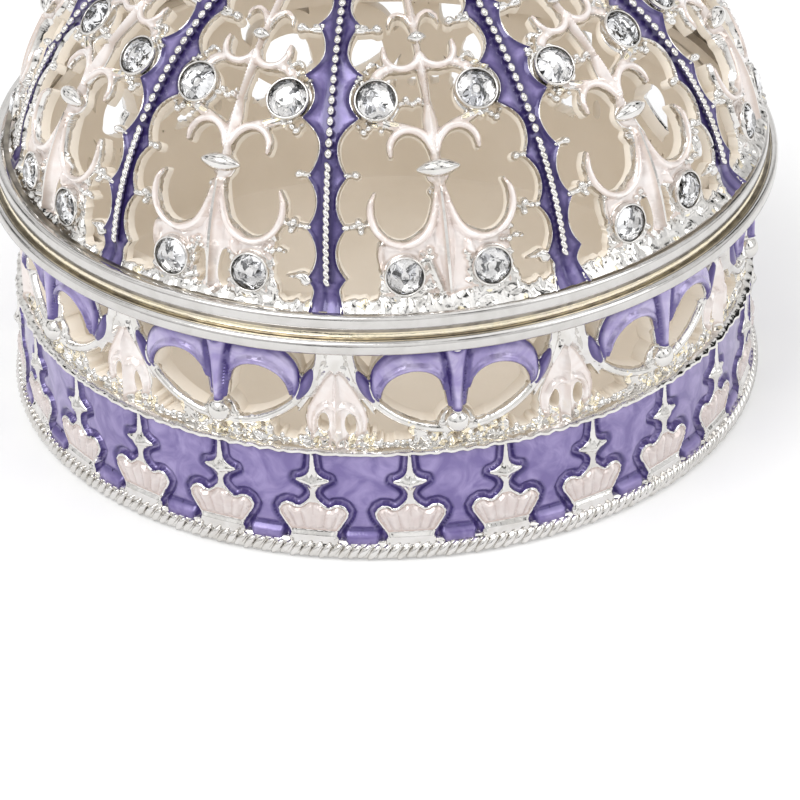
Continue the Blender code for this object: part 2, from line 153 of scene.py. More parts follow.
@dataclass
class Relief:
    """A flat field of cast ornament, in millimetres across and up.

    Attributes:
        left, right, low, high: the field's edges.
        depth: how far the back lies below the ground.
        pitch: distance between samples.
        rounding: width of the rounded edge.
        fine, coarse: distance between corners where the face curves, and where it is flat.
        dip: how far the enamel sinks below the metal.
        rings: depths inside the enamel that get corners of their own.
    """

    left: float
    right: float
    low: float
    high: float
    depth: float
    pitch: float = 0.07
    rounding: float = 0.1
    fine: float = 0.15
    coarse: float = 0.36
    dip: float = 0.07
    rings: tuple[float, ...] = (0.11,)

    def __post_init__(self) -> None:
        """Lay out the empty field."""
        self.xs, self.ys = (np.linspace(start, end, int(round((end - start) / self.pitch)) + 1)
                            for start, end in ((self.left, self.right), (self.low, self.high)))
        self.x, self.y = np.meshgrid(self.xs, self.ys)
        self.solid = np.full(self.x.shape, -FAR)
        self.lift = np.full(self.x.shape, -FAR)
        self.tints = {kind: np.full(self.x.shape, -FAR) for kind in WASHES}

    def fill(self, finish: Finish) -> None:
        """Make the whole field solid ground of one finish.

        Args:
            finish: the finish.
        """
        self.solid[:] = FAR
        self.lift[:] = 0.0
        self.tints[finish][:] = FAR

    def window(self, points: np.ndarray, margin: float) -> tuple[slice, slice]:
        """The part of the grid round some points.

        Args:
            points: rows that start with across and up.
            margin: how far it reaches beyond them.

        Returns:
            Its rows and its columns.
        """
        low, high = points[:, :2].min(0) - margin, points[:, :2].max(0) + margin
        columns = np.searchsorted(self.xs, (low[0], high[0]))
        rows = np.searchsorted(self.ys, (low[1], high[1]))
        return slice(*rows), slice(*columns)

    def merge(self, part: tuple[slice, slice], inside: np.ndarray, lift: np.ndarray, finish: Finish,
              rim: float, blend: float) -> None:
        """Join a shape to the field, over any other finish.

        Args:
            part: the window of the grid that the shape covers.
            inside: distance inside the shape's outline.
            lift: height of the shape's face.
            finish: the finish of its face.
            rim: width of the bare metal along its outline.
            blend: width of the fillet where it meets what is there.
        """
        self.solid[part] = soft_max(self.solid[part], inside, blend)
        self.lift[part] = soft_max(self.lift[part], lift, 0.5 * blend)
        for kind, tint in self.tints.items():
            own = kind is finish
            tint[part] = np.maximum(tint[part], inside - rim) if own else np.minimum(tint[part], -inside)

    def stroke(self, points: Rows, crest: float, base: float = 0.0,
               finish: Finish = Finish.SILVER, rim: float = 0.1, roof: bool = False,
               both: bool = True, blend: float = FILLET) -> None:
        """Add a raised stroke.

        Args:
            points: rows of across, up and half width.
            crest: height of its middle.
            base: height of its edges.
            finish: the finish of its face.
            rim: width of the bare metal along its edges.
            roof: whether it is ridged, rather than round.
            both: whether it is mirrored on the other side of the middle line.
            blend: width of the fillet where it meets other shapes.
        """
        path = flowing(points)
        for side in ((1, -1) if both else (1,)):
            line = path * np.array([side, 1, 1])
            part = self.window(line, float(line[:, 2].max()) + BESIDE)
            x, y = self.x[part], self.y[part]
            if not x.size:
                continue
            inside = np.full(x.shape, -FAR)
            width = np.full(x.shape, 0.1)
            ends = line[1:] if len(line) > 1 else line
            for start, end in zip(line, ends):
                along = end[:2] - start[:2]
                span = float(along @ along)
                t = ((x - start[0]) * along[0] + (y - start[1]) * along[1]) / max(span, 1e-9)
                t = np.clip(t, 0.0, 1.0)
                local = start[2] + t * (end[2] - start[2])
                reach = local - np.hypot(x - start[0] - t * along[0], y - start[1] - t * along[1])
                better = reach > inside
                inside = np.where(better, reach, inside)
                width = np.where(better, local, width)
            share = np.clip(inside / np.maximum(width, 0.05), 0.0, 1.0)
            shape = share if roof else np.sqrt(1.0 - (1.0 - share) ** 2)
            lift = base + (crest - base) * shape * np.clip(width / SLIM, 0.35, 1.0)
            self.merge(part, inside, np.where(inside < 0, base + BANK * inside, lift), finish, rim, blend)

    def dots(self, places: Rows, crest: float, base: float, both: bool = True,
             blend: float = 0.08) -> None:
        """Add granules from one height up to another, from rows of across, up and radius."""
        for place in places:
            self.stroke([place], crest, base, rim=0.02, both=both, blend=blend)

    def petal(self, points: Rows, crest: float, rim: float, **options: object) -> None:
        """Add a pink stroke, from rows of across, up and half width; the options are the stroke's own."""
        self.stroke(points, crest, finish=Finish.PINK, rim=rim, **options)

    def leaf(self, rows: Sequence[Point], crest: float, rim: float, middle: float = 0.0,
             blend: float = FILLET) -> None:
        """Add an upright pink leaf with a ridge, from heights and half widths along its middle line."""
        points = [(middle, y, half) for y, half in rows]
        self.stroke(points, crest, finish=Finish.PINK, rim=rim, roof=True, both=False, blend=blend)

    def scatter(self, rows: Sequence[tuple]) -> None:
        """Scatter granules over several areas, each row giving what grains takes."""
        for row in rows:
            self.grains(*row)

    def patch(self, outline: Sequence[Point], crest: float, bevel: float,
              finish: Finish = Finish.SILVER, rim: float = 0.1, both: bool = False) -> None:
        """Add a raised flat patch with rounded edges.

        Args:
            outline: its corners.
            crest: height of its face.
            bevel: width of its rounded edge.
            finish: the finish of its face.
            rim: width of the bare metal along its outline.
            both: whether it is mirrored on the other side of the middle line.
        """
        for side in ((1, -1) if both else (1,)):
            inside = polygon_distance(self.x, self.y, np.array(outline, float) * np.array([side, 1]))
            share = np.clip(inside / bevel, 0.0, 1.0)
            lift = crest * np.sqrt(1.0 - (1.0 - share) ** 2)
            self.merge(WHOLE, inside, np.where(inside < 0, BANK * inside, lift), finish, rim, FILLET)

    def pierce(self, middle: Point, radii: Point) -> None:
        """Cut an oval opening, and its mirror image.

        Args:
            middle: its place.
            radii: its radii across and up.
        """
        for side in (1, -1):
            share = np.hypot((self.x - side * middle[0]) / radii[0], (self.y - middle[1]) / radii[1])
            self.solid = np.minimum(self.solid, (share - 1.0) * min(radii))

    def grains(self, box: tuple[float, float, float, float], count: int, sizes: Point, seed: int,
               base: float = 0.1, gold: float = 0.0, stretch: float = 0.8, tilt: float = math.pi,
               rise: Point = (0.8, 1.7)) -> None:
        """Scatter cast granules over a box of the field.

        Args:
            box: left, low, right and high edges.
            count: how many.
            sizes: least and greatest radius.
            seed: of the scatter.
            base: height they stand on.
            gold: share of them with a gold wash.
            stretch: how far they are drawn out, in radii.
            tilt: how far they turn from level.
            rise: least and greatest height, in radii.
        """
        draw = np.random.default_rng(seed)
        for _ in range(count):
            x, y = draw.uniform(box[0], box[2]), draw.uniform(box[1], box[3])
            radius = draw.uniform(*sizes)
            turn = draw.uniform(-0.5, 0.5) * tilt
            reach = draw.uniform(0.0, stretch) * radius
            ends = [(x + reach * math.cos(turn), y + reach * math.sin(turn), radius), (x, y, radius * 0.8)]
            finish = Finish.GOLD if draw.uniform() < gold else Finish.SILVER
            self.stroke(ends, base + radius * draw.uniform(*rise), base, finish, 0.03, both=False, blend=0.06)

    def sample(self, values: np.ndarray, points: np.ndarray) -> np.ndarray:
        """Read a field between its samples.

        Args:
            values: the field.
            points: rows of across and up.

        Returns:
            One value for each point.
        """
        u = np.clip((points[:, 0] - self.left) / (self.xs[1] - self.xs[0]), 0, len(self.xs) - 1 - 1e-6)
        v = np.clip((points[:, 1] - self.low) / (self.ys[1] - self.ys[0]), 0, len(self.ys) - 1 - 1e-6)
        i, j = u.astype(int), v.astype(int)
        u, v = u - i, v - j
        lower = values[j, i] * (1 - u) + values[j, i + 1] * u
        upper = values[j + 1, i] * (1 - u) + values[j + 1, i + 1] * u
        return lower * (1 - v) + upper * v

    def contours(self, values: np.ndarray, level: float) -> list[np.ndarray]:
        """Lines where a field has a value.

        Args:
            values: the field.
            level: the value.

        Returns:
            Closed lines, and open ones that end at the field's edges.
        """
        above = values > level
        places: dict[Crossing, Point] = {}
        links: dict[Crossing, list[Crossing]] = {}

        def crossing(kind: int, j: int, i: int) -> Crossing:
            key = (kind, j, i)
            if key not in places:
                other = (j, i + 1) if kind == 0 else (j + 1, i)
                a, b = values[j, i] - level, values[other] - level
                t = float(a / (a - b))
                if kind == 0:
                    places[key] = (float(self.xs[i] + t * (self.xs[i + 1] - self.xs[i])), float(self.ys[j]))
                else:
                    places[key] = (float(self.xs[i]), float(self.ys[j] + t * (self.ys[j + 1] - self.ys[j])))
            return key

        corners = above[:-1, :-1].astype(int) + above[:-1, 1:] + above[1:, :-1] + above[1:, 1:]
        for j, i in zip(*(found.tolist() for found in np.nonzero((corners > 0) & (corners < 4)))):
            a, b, c, d = above[j, i], above[j, i + 1], above[j + 1, i + 1], above[j + 1, i]
            cuts = ((a, b, 0, j, i), (b, c, 1, j, i + 1), (c, d, 0, j + 1, i), (d, a, 1, j, i))
            sides = [crossing(*place) for one, other, *place in cuts if one != other]
            if len(sides) == 4:
                middle = values[j, i] + values[j, i + 1] + values[j + 1, i] + values[j + 1, i + 1] > 4 * level
                sides = [sides[k] for k in ((0, 3, 1, 2) if a != middle else (0, 1, 2, 3))]
            for one, other in zip(sides[::2], sides[1::2]):
                links.setdefault(one, []).append(other)
                links.setdefault(other, []).append(one)
        lines = []
        starts = [key for key, near in links.items() if len(near) == 1]
        seen: set[Crossing] = set()
        for key in [*starts, *links]:
            if key in seen:
                continue
            line, ahead = [], [key]
            while ahead:
                line.append(ahead[0])
                seen.add(ahead[0])
                ahead = [k for k in links[ahead[0]] if k not in seen]
            if len(line) > 2 and line[0] in links[line[-1]] and len(links[key]) == 2:
                line.append(line[0])
            lines.append(np.array([places[k] for k in line]))
        return lines

    @staticmethod
    def seamless(*fields: np.ndarray) -> None:
        """Make fields meet themselves where copies stand side by side."""
        for values in fields:
            values[:, 0] = values[:, -1] = 0.5 * (values[:, 0] + values[:, -1])


def polygon_distance(x: np.ndarray, y: np.ndarray, corners: np.ndarray) -> np.ndarray:
    """Distance inside a polygon, negative outside it.

    Args:
        x: places across.
        y: places up.
        corners: the polygon's corners.

    Returns:
        One distance for each place.
    """
    nearest = np.full(x.shape, 1e9)
    odd = np.zeros(x.shape, bool)
    for (ax, ay), (bx, by) in zip(corners, np.roll(corners, -1, axis=0)):
        dx, dy = bx - ax, by - ay
        t = np.clip(((x - ax) * dx + (y - ay) * dy) / max(dx * dx + dy * dy, 1e-12), 0.0, 1.0)
        nearest = np.minimum(nearest, np.hypot(x - ax - t * dx, y - ay - t * dy))
        if ay != by:
            odd ^= ((ay > y) != (by > y)) & (x < dx * (y - ay) / dy + ax)
    return np.where(odd, nearest, -nearest)


def resampled(line: np.ndarray, spacing: float) -> np.ndarray:
    """The same line with evenly spaced points and the same ends.

    Args:
        line: rows of across and up.
        spacing: about how far apart the points are to be.

    Returns:
        The new line.
    """
    steps = np.hypot(*np.diff(line, axis=0).T)
    along = np.concatenate([[0.0], np.cumsum(steps)])
    closed = bool(np.allclose(line[0], line[-1]))
    count = max(int(round(along[-1] / spacing)), 4 if closed else 1)
    places = np.linspace(0.0, along[-1], count + 1)
    even = np.stack([np.interp(places, along, line[:, k]) for k in (0, 1)], axis=1)
    even[0], even[-1] = line[0], line[-1]
    return even


@dataclass
class Flat:
    """A sheet laid out flat.

    Attributes:
        corners: rows of across, up and lift.
        triangles: rows of three corners.
        finishes: each triangle's material slot.
        pool_and_shade: depth of the enamel at each corner, by which its colour darkens for pooling and for
            painted shade.
    """

    corners: np.ndarray
    triangles: np.ndarray
    finishes: np.ndarray
    pool_and_shade: np.ndarray

    @staticmethod
    def triangulate(points: list[np.ndarray], edges: list[Edge]) -> tuple[np.ndarray, list[Face], set[Edge]]:
        """Join points with triangles.

        Args:
            points: arrays of places, one after another.
            edges: pairs of points that stay joined.

        Returns:
            Every corner's place, the triangles, and the edges that were kept.
        """
        made = delaunay_2d_cdt([Vector(p) for p in np.vstack(points)], edges, [], 0, CLOSE)
        places = np.array([tuple(v) for v in made[0]])
        kept = {tuple(sorted(edge)) for edge, sources in zip(made[1], made[4]) if sources}
        return places, [tuple(face) for face in made[2]], kept

    @staticmethod
    def measured(places: np.ndarray, corners: np.ndarray) -> np.ndarray:
        """Twice the area of each triangle, negative where it faces down."""
        a, b, c = (places[corners[:, k]] for k in range(3))
        return np.cross(b - a, c - a)

    @staticmethod
    def islands(faces: list[Face], kept: set[Edge]) -> np.ndarray:
        """Number the regions of triangles that kept edges part.

        Args:
            faces: the triangles.
            kept: the edges that part regions.

        Returns:
            The number of each triangle's region.
        """
        parent = list(range(len(faces)))

        def root(index: int) -> int:
            while parent[index] != index:
                parent[index] = parent[parent[index]]
                index = parent[index]
            return index

        owner: dict[Edge, int] = {}
        for index, face in enumerate(faces):
            for a, b in zip(face, face[1:] + face[:1]):
                edge = (a, b) if a < b else (b, a)
                if edge in kept:
                    continue
                if edge in owner:
                    parent[root(index)] = root(owner[edge])
                else:
                    owner[edge] = index
        return np.array([root(index) for index in range(len(faces))])

    @classmethod
    def cut_from(cls, relief: Relief) -> "Flat":
        """Cut a relief out along its outline, with its finishes' borders as edges.

        Args:
            relief: the field.

        Returns:
            The sheet: face, edges and back.
        """
        outline = relief.contours(relief.solid, 0.0)
        step = 1.35 * relief.fine
        points: list[np.ndarray] = []
        edges: list[Edge] = []
        total = 0

        def keep(lines: list[np.ndarray], spacing: float, hold: bool, least: int = 0) -> None:
            nonlocal total
            for line in lines:
                if len(line) <= least:
                    continue
                even = resampled(line, spacing)
                if hold:
                    edges.extend((total + k, total + k + 1) for k in range(len(even) - 1))
                points.append(even)
                total += len(even)

        keep(outline, step, True)
        keep(relief.contours(relief.solid, relief.rounding), step, False)
        for tint in relief.tints.values():
            bounded = np.minimum(tint, relief.solid - TINT_INSET)
            keep(relief.contours(bounded, 0.0), step, True, 6)
            for level in relief.rings:
                keep(relief.contours(bounded, level), 1.3 * step, False, 6)
        points.append(cls.border(relief, relief.fine * 2))
        points.append(cls.inner(relief))
        places, faces, kept = cls.triangulate(points, edges)
        regions = cls.islands(faces, kept)
        corners = np.array(faces)
        middles = places[corners].mean(axis=1)
        cross = cls.measured(places, corners)
        area = np.abs(cross) / 2
        inside = cls.vote(regions, relief.sample(relief.solid, middles), area)
        slots = np.zeros(len(faces), int)
        for kind, tint in relief.tints.items():
            slots[cls.vote(regions, relief.sample(tint, middles), area)] = kind.value
        front = corners[inside]
        turn = cross[inside] < 0
        front[turn] = front[turn][:, ::-1]
        lift = relief.sample(relief.lift, places)
        tint_depth = np.maximum.reduce([relief.sample(relief.tints[kind], places) for kind in ENAMELS])
        lift = lift - relief.dip * ease(tint_depth / 0.1)
        used = np.isin(np.arange(len(places)), front)
        lift = np.where(used, np.maximum(lift, -0.35 * relief.depth), 0.0)
        shape = cls(np.column_stack([places, lift]), front, slots[inside], np.maximum(tint_depth, 0.0))
        return shape.closed(relief)

    @staticmethod
    def vote(regions: np.ndarray, values: np.ndarray, area: np.ndarray) -> np.ndarray:
        """Whether each triangle's whole region lies where a value is mostly positive.

        Args:
            regions: the number of each triangle's region.
            values: a value for each triangle.
            area: each triangle's area.

        Returns:
            One answer for each triangle.
        """
        sums = np.zeros(len(regions))
        np.add.at(sums, regions, np.clip(values, -0.5, 0.5) * area)
        return sums[regions] > 0

    @staticmethod
    def border(relief: Relief, spacing: float) -> np.ndarray:
        """Points along the field's four edges, where there is metal.

        Args:
            relief: the field.
            spacing: about how far apart they are.

        Returns:
            Rows of across and up.
        """
        ups = np.linspace(relief.low, relief.high, max(int((relief.high - relief.low) / spacing), 2))
        acrosses = np.linspace(relief.left, relief.right, max(int((relief.right - relief.left) / spacing), 2))
        sides = [np.column_stack([np.full(len(ups), x), ups]) for x in (relief.left, relief.right)]
        ends = [np.column_stack([acrosses, np.full(len(acrosses), y)]) for y in (relief.low, relief.high)]
        places = np.unique(np.round(np.vstack([*sides, *ends]), 6), axis=0)
        corner = (np.isin(places[:, 0], (relief.left, relief.right))
                  & np.isin(places[:, 1], (relief.low, relief.high)))
        return places[(relief.sample(relief.solid, places) > 0.05) | corner]

    @staticmethod
    def inner(relief: Relief) -> np.ndarray:
        """Points inside the metal, closer together where its face curves.

        Args:
            relief: the field.

        Returns:
            Rows of across and up.
        """
        chosen = []
        bends = [np.abs(np.gradient(np.gradient(relief.lift, axis=axis), axis=axis)) for axis in (0, 1)]
        bend = (bends[0] + bends[1]) / relief.pitch**2 * np.where(relief.solid > 0, 1.0, 0.0)
        for spacing, keen in ((relief.fine, True), (relief.coarse, False)):
            rows = np.arange(relief.low + spacing, relief.high - 0.4 * spacing, ROW_STEP * spacing)
            for number, y in enumerate(rows):
                first = relief.left + spacing * (0.6 + 0.5 * (number % 2))
                xs = np.arange(first, relief.right - 0.4 * spacing, spacing)
                chosen.append(np.column_stack([xs, np.full(len(xs), y), np.full(len(xs), float(keen))]))
        places = np.vstack(chosen)
        keen = places[:, 2] > 0.5
        curved = relief.sample(bend, places) > CURVED
        border = np.minimum.reduce([np.abs(relief.sample(tint, places) - TINT_INSET)
                                    for tint in relief.tints.values()])
        room = (relief.sample(relief.solid, places) > relief.rounding + 0.45 * relief.fine) & (border > 0.12)
        return places[room & np.where(keen, curved, ~curved)][:, :2]

    def closed(self, relief: Relief) -> "Flat":
        """Add the sheet's edges and back.

        Args:
            relief: the field.

        Returns:
            The closed sheet.
        """
        open_edges: dict[Edge, None] = {}
        for face in self.triangles.tolist():
            for a, b in zip(face, face[1:] + face[:1]):
                if (b, a) in open_edges:
                    open_edges.pop((b, a))
                else:
                    open_edges[a, b] = None
        flat = self.corners[:, :2]
        rim = [edge for edge in open_edges if not any(np.all(np.abs(flat[list(edge), 0] - x) < ON_EDGE)
                                                      for x in (relief.left, relief.right))]
        size = len(self.corners)
        below = self.corners.copy()
        below[:, 2] = -relief.depth
        walls = [face for a, b in rim for face in ((b, a, a + size), (b, a + size, b + size))]
        off_side = np.minimum(np.abs(flat[:, 0] - relief.left), np.abs(flat[:, 0] - relief.right))
        sides = np.intersect1d(self.triangles, np.nonzero(off_side < ON_EDGE))
        members = sorted({*(k for edge in rim for k in edge), *sides.tolist()})
        index = {k: n for n, k in enumerate(members)}
        spread = np.column_stack([g.ravel() for g in np.meshgrid(
            np.arange(relief.left + 0.9, relief.right - 0.5, BACK_STEP),
            np.arange(relief.low + 0.7, relief.high - 0.5, BACK_STEP))])
        spread = spread[relief.sample(relief.solid, spread) > 0.35]
        base = [flat[members]] + ([spread] if len(spread) else [])
        places, faces, kept = self.triangulate(base, [(index[a], index[b]) for a, b in rim])
        regions = self.islands(faces, kept)
        back = np.array(faces)
        cross = self.measured(places, back)
        inside = self.vote(regions, relief.sample(relief.solid, places[back].mean(axis=1)), np.abs(cross) / 2)
        back = back[inside]
        turn = cross[inside] > 0
        back[turn] = back[turn][:, ::-1]
        under = np.column_stack([places, np.full(len(places), -relief.depth)])
        corners = np.vstack([self.corners, below, under])
        triangles = np.vstack([self.triangles, np.array(walls, int).reshape(-1, 3), back + 2 * size])
        plain = np.full(len(walls) + len(back), Finish.SATIN.value)
        pool_and_shade = np.concatenate([self.pool_and_shade, np.zeros(size + len(under))])
        return Flat(corners, triangles, np.concatenate([self.finishes, plain]), pool_and_shade)

    def ring(self, bend: Bend, angles: Iterable[float]) -> tuple[np.ndarray, ...]:
        """Bend the sheet and repeat it round the axis.

        Args:
            bend: turns rows of across, up and lift into places in metres, at the front.
            angles: one for each copy.

        Returns:
            Welded corners, triangles, finishes and enamel depths, which darken the enamel for pooling and for
            painted shade.
        """
        unit = bend(self.corners)
        corners, triangles = [], []
        for number, angle in enumerate(angles):
            cos, sin = math.cos(angle), math.sin(angle)
            turn = np.array([[cos, sin, 0.0], [-sin, cos, 0.0], [0.0, 0.0, 1.0]])
            corners.append(unit @ turn)
            triangles.append(self.triangles + number * len(unit))
        copies = len(corners)
        places = np.vstack(corners)
        matched = np.round(places * WELD).astype(np.int64)
        _, first, inverse = np.unique(matched, axis=0, return_index=True, return_inverse=True)
        welded = inverse.reshape(-1)[np.vstack(triangles)]
        finishes = np.tile(self.finishes, copies)
        pool_and_shade = np.tile(self.pool_and_shade, copies)[first]
        whole = np.all(welded != np.roll(welded, 1, axis=1), axis=1)
        return places[first], welded[whole], finishes[whole], pool_and_shade


# --- bends and turned forms


@dataclass(frozen=True)
class Dome:
    """The lid's outer surface, a half ellipse turned round the axis, in millimetres.

    Attributes:
        radius, height: the half ellipse's.
        draw: how far ornament is drawn together up the dome.
        lean: degrees that the dome leans sideways.
        shift: how far to the side it leans about.
        flare: how far its foot spreads.
    """

    radius: float = 28.3
    height: float = 22.3
    draw: float = 0.981
    lean: float = -1.56
    shift: float = 0.41
    flare: float = 1.0

    @property
    def seat(self) -> Matrix:
        """The slight lean with which the cast dome sits on its rim.

        Returns:
            The turn about the middle of its foot.
        """
        pivot = Matrix.Translation((self.shift * MM, 0.0, SEAM * MM))
        back = Matrix.Translation((0.0, 0.0, -SEAM * MM))
        return pivot @ Matrix.Rotation(math.radians(self.lean), 4, "Y") @ back

    def table(self) -> tuple[np.ndarray, np.ndarray, np.ndarray]:
        """Radius, height and flat arc length from the foot to the apex.

        Returns:
            Three rows of values, from the foot to the apex.
        """
        turn = np.linspace(0.0, math.pi / 2, 2000)
        radius, height = self.radius * np.cos(turn), self.height * np.sin(turn)
        steps = np.hypot(np.diff(radius), np.diff(height))
        return radius, height, np.concatenate([[0.0], np.cumsum(steps)]) / self.draw

    def radius_at(self, arc: float) -> float:
        """Radius at an arc length up from the foot."""
        radius, _, arcs = self.table()
        return float(np.interp(arc, arcs, radius))

    def half_panel(self, arc: float) -> float:
        """Half the width from rib to rib at an arc length."""
        return math.pi / BAYS * self.radius_at(arc)

    def bend(self, places: np.ndarray) -> np.ndarray:
        """Bend rows of across, up and lift on to the dome, in metres.

        Args:
            places: rows of across, up and lift, in millimetres.

        Returns:
            Places in metres, at the front.
        """
        radius, height, arcs = self.table()
        r = np.interp(places[:, 1], arcs, radius)
        z = np.interp(places[:, 1], arcs, height)
        slope = np.stack([r / self.radius**2, z / self.height**2])
        slope = slope / np.hypot(*slope)
        angle = places[:, 0] / r
        spread = self.flare * np.clip((2.7 - places[:, 1]) / 1.5, 0.0, 1.0) ** 2
        out = r + spread + places[:, 2] * slope[0]
        rise = SEAM + z + places[:, 2] * slope[1]
        return np.stack([out * np.sin(angle), -out * np.cos(angle), rise], axis=1) * MM

    def upright(self, across: float, arc: float, lift: float, angle: float) -> Matrix:
        """Place and turn, in metres, for a thing that stands on the dome.

        Args:
            across: how far to the side of the bay's middle.
            arc: how far up the dome.
            lift: how far out from it.
            angle: the bay's angle.

        Returns:
            A matrix whose Z axis points out of the dome, and Y up it.
        """
        base, above, higher = (Vector(p) for p in self.bend(np.array(
            [[across, arc, lift], [across, arc, lift + 1.0], [across, arc + 0.1, lift]])))
        out = (above - base).normalized()
        side = (higher - base).cross(out).normalized()
        turn = Matrix((side, out.cross(side), out)).transposed().to_4x4()
        return Matrix.Rotation(angle, 4, "Z") @ Matrix.Translation(base) @ turn


@dataclass(frozen=True)
class Barrel:
    """An upright round wall, in millimetres, and the wider one that its ornament is laid out for."""

    radius: float
    layout: float

    def bend(self, places: np.ndarray) -> np.ndarray:
        """Bend rows of across, up and lift on to the wall, in metres.

        Args:
            places: rows of across, up and lift, in millimetres.

        Returns:
            Places in metres, at the front.
        """
        angle = places[:, 0] / self.layout
        out = self.radius + places[:, 2]
        return np.stack([out * np.sin(angle), -out * np.cos(angle), places[:, 1]], axis=1) * MM


def around(count: int, start: float) -> list[float]:
    """Angles of things spaced evenly round the axis."""
    return [start + 2 * math.pi * index / count for index in range(count)]


def deselect() -> None:
    """Leave nothing selected."""
    if bpy.context.object and bpy.context.object.mode != "OBJECT":
        bpy.ops.object.mode_set(mode="OBJECT")
    bpy.ops.object.select_all(action="DESELECT")


def put(name: str, mesh: Mesh, materials: Sequence[Material],
        seat: Matrix | None = None) -> bpy.types.Object:
    """Make a piece of a mesh that is already in its place, riding on the box.

    Args:
        name: the piece's name.
        mesh: its mesh.
        materials: its finishes, in the order of the mesh's slots.
        seat: how what carries it sits.

    Returns:
        The piece.
    """
    mesh.name = name
    if seat is not None:
        mesh.transform(seat)
    for material in materials[len(mesh.materials):]:
        mesh.materials.append(material)
    piece = bpy.data.objects.new(name, mesh)
    bpy.context.scene.collection.objects.link(piece)
    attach(piece, "root")
    log.info("%s: %d faces", name, len(mesh.polygons))
    return piece


def turned(profile: Sequence[Point], steps: int, smooth: float = 40.0) -> Mesh:
    """Spin a closed profile round the axis.

    Args:
        profile: radius and height of its corners, in millimetres; one that starts and ends on the
            axis is left open there.
        steps: steps of the spin.
        smooth: faces that meet at less than this many degrees are smooth.

    Returns:
        The turned mesh.
    """
    deselect()
    bpy.ops.mesh.primitive_circle_add(vertices=len(profile), radius=MM, fill_type="NOTHING")
    piece = bpy.context.object
    for corner, (radius, height) in zip(piece.data.vertices, profile):
        corner.co = (0.0, -radius * MM, height * MM)
    bpy.ops.object.mode_set(mode="EDIT")
    if profile[0][0] == 0.0:
        bpy.ops.object.mode_set(mode="OBJECT")
        opened = bmesh.new()
        opened.from_mesh(piece.data)
        on_axis = [edge for edge in opened.edges if all(abs(corner.co.y) < 1e-9 for corner in edge.verts)]
        bmesh.ops.delete(opened, geom=on_axis, context="EDGES")
        opened.to_mesh(piece.data)
        opened.free()
        bpy.ops.object.mode_set(mode="EDIT")
    bpy.ops.mesh.select_all(action="SELECT")
    bpy.ops.mesh.spin(steps=steps, angle=2 * math.pi, center=(0, 0, 0), axis=(0, 0, 1))
    bpy.ops.mesh.select_all(action="SELECT")
    bpy.ops.mesh.remove_doubles(threshold=1e-6)
    bpy.ops.mesh.normals_make_consistent(inside=False)
    bpy.ops.object.mode_set(mode="OBJECT")
    bpy.ops.object.shade_smooth_by_angle(angle=math.radians(smooth))
    return taken(piece)


def lined(mesh: Mesh, reach: float) -> Mesh:
    """Give the faces of a ring that lie within a radius its second material.

    Args:
        mesh: the ring.
        reach: the radius, in mm.

    Returns:
        The same mesh.
    """
    for face in mesh.polygons:
        if math.hypot(face.center.x, face.center.y) < reach * MM:
            face.material_index = 1
    return mesh


def taken(piece: bpy.types.Object) -> Mesh:
    """Take a copy of an object's mesh, with its place and modifiers applied, and remove the object.

    Args:
        piece: the object.

    Returns:
        The mesh.
    """
    bpy.context.view_layer.update()
    shown = piece.evaluated_get(bpy.context.evaluated_depsgraph_get())
    mesh = bpy.data.meshes.new_from_object(shown)
    mesh.transform(piece.matrix_world)
    old = piece.data
    bpy.data.objects.remove(piece)
    if isinstance(old, Mesh) and not old.users:
        bpy.data.meshes.remove(old)
    return mesh


def repeated(unit: Mesh, places: Sequence[Matrix]) -> Mesh:
    """Copy a small mesh to many places, as one mesh.

    Args:
        unit: the mesh that is copied.
        places: one matrix for each copy.

    Returns:
        The joined mesh.
    """
    corners = np.empty(len(unit.vertices) * 3)
    unit.vertices.foreach_get("co", corners)
    corners = corners.reshape(-1, 3)
    faces = [tuple(face.vertices) for face in unit.polygons]
    slots = [face.material_index for face in unit.polygons]
    smooth = [face.use_smooth for face in unit.polygons]
    rows, all_faces = [], []
    for number, place in enumerate(places):
        turn = np.array(place)
        rows.append(corners @ turn[:3, :3].T + turn[:3, 3])
        first = number * len(corners)
        all_faces += [tuple(index + first for index in face) for face in faces]
    mesh = bpy.data.meshes.new(unit.name)
    mesh.from_pydata(np.vstack(rows).tolist(), [], all_faces)
    mesh.polygons.foreach_set("material_index", slots * len(places))
    mesh.polygons.foreach_set("use_smooth", smooth * len(places))
    mesh.update()
    return mesh


def frozen(shape: bmesh.types.BMesh, name: str) -> Mesh:
    """Turn a shape that is being edited into a mesh.

    Args:
        shape: the shape, which is freed.
        name: the mesh's name.

    Returns:
        The mesh.
    """
    mesh = bpy.data.meshes.new(name)
    shape.to_mesh(mesh)
    shape.free()
    return mesh


def joined(meshes: Sequence[Mesh]) -> Mesh:
    """Join meshes into one.

    Args:
        meshes: the meshes, which are removed.

    Returns:
        The joined mesh.
    """
    shape = bmesh.new()
    for mesh in meshes:
        shape.from_mesh(mesh)
    whole = frozen(shape, meshes[0].name)
    for mesh in meshes:
        bpy.data.meshes.remove(mesh)
    return whole


def ball(radius: float, detail: int) -> Mesh:
    """A small round ball, in millimetres, as a unit to repeat.

    Args:
        radius: its radius.
        detail: how often its faces are divided.

    Returns:
        The mesh.
    """
    deselect()
    bpy.ops.mesh.primitive_ico_sphere_add(subdivisions=detail, radius=radius * MM)
    bpy.ops.object.shade_smooth()
    return taken(bpy.context.object)


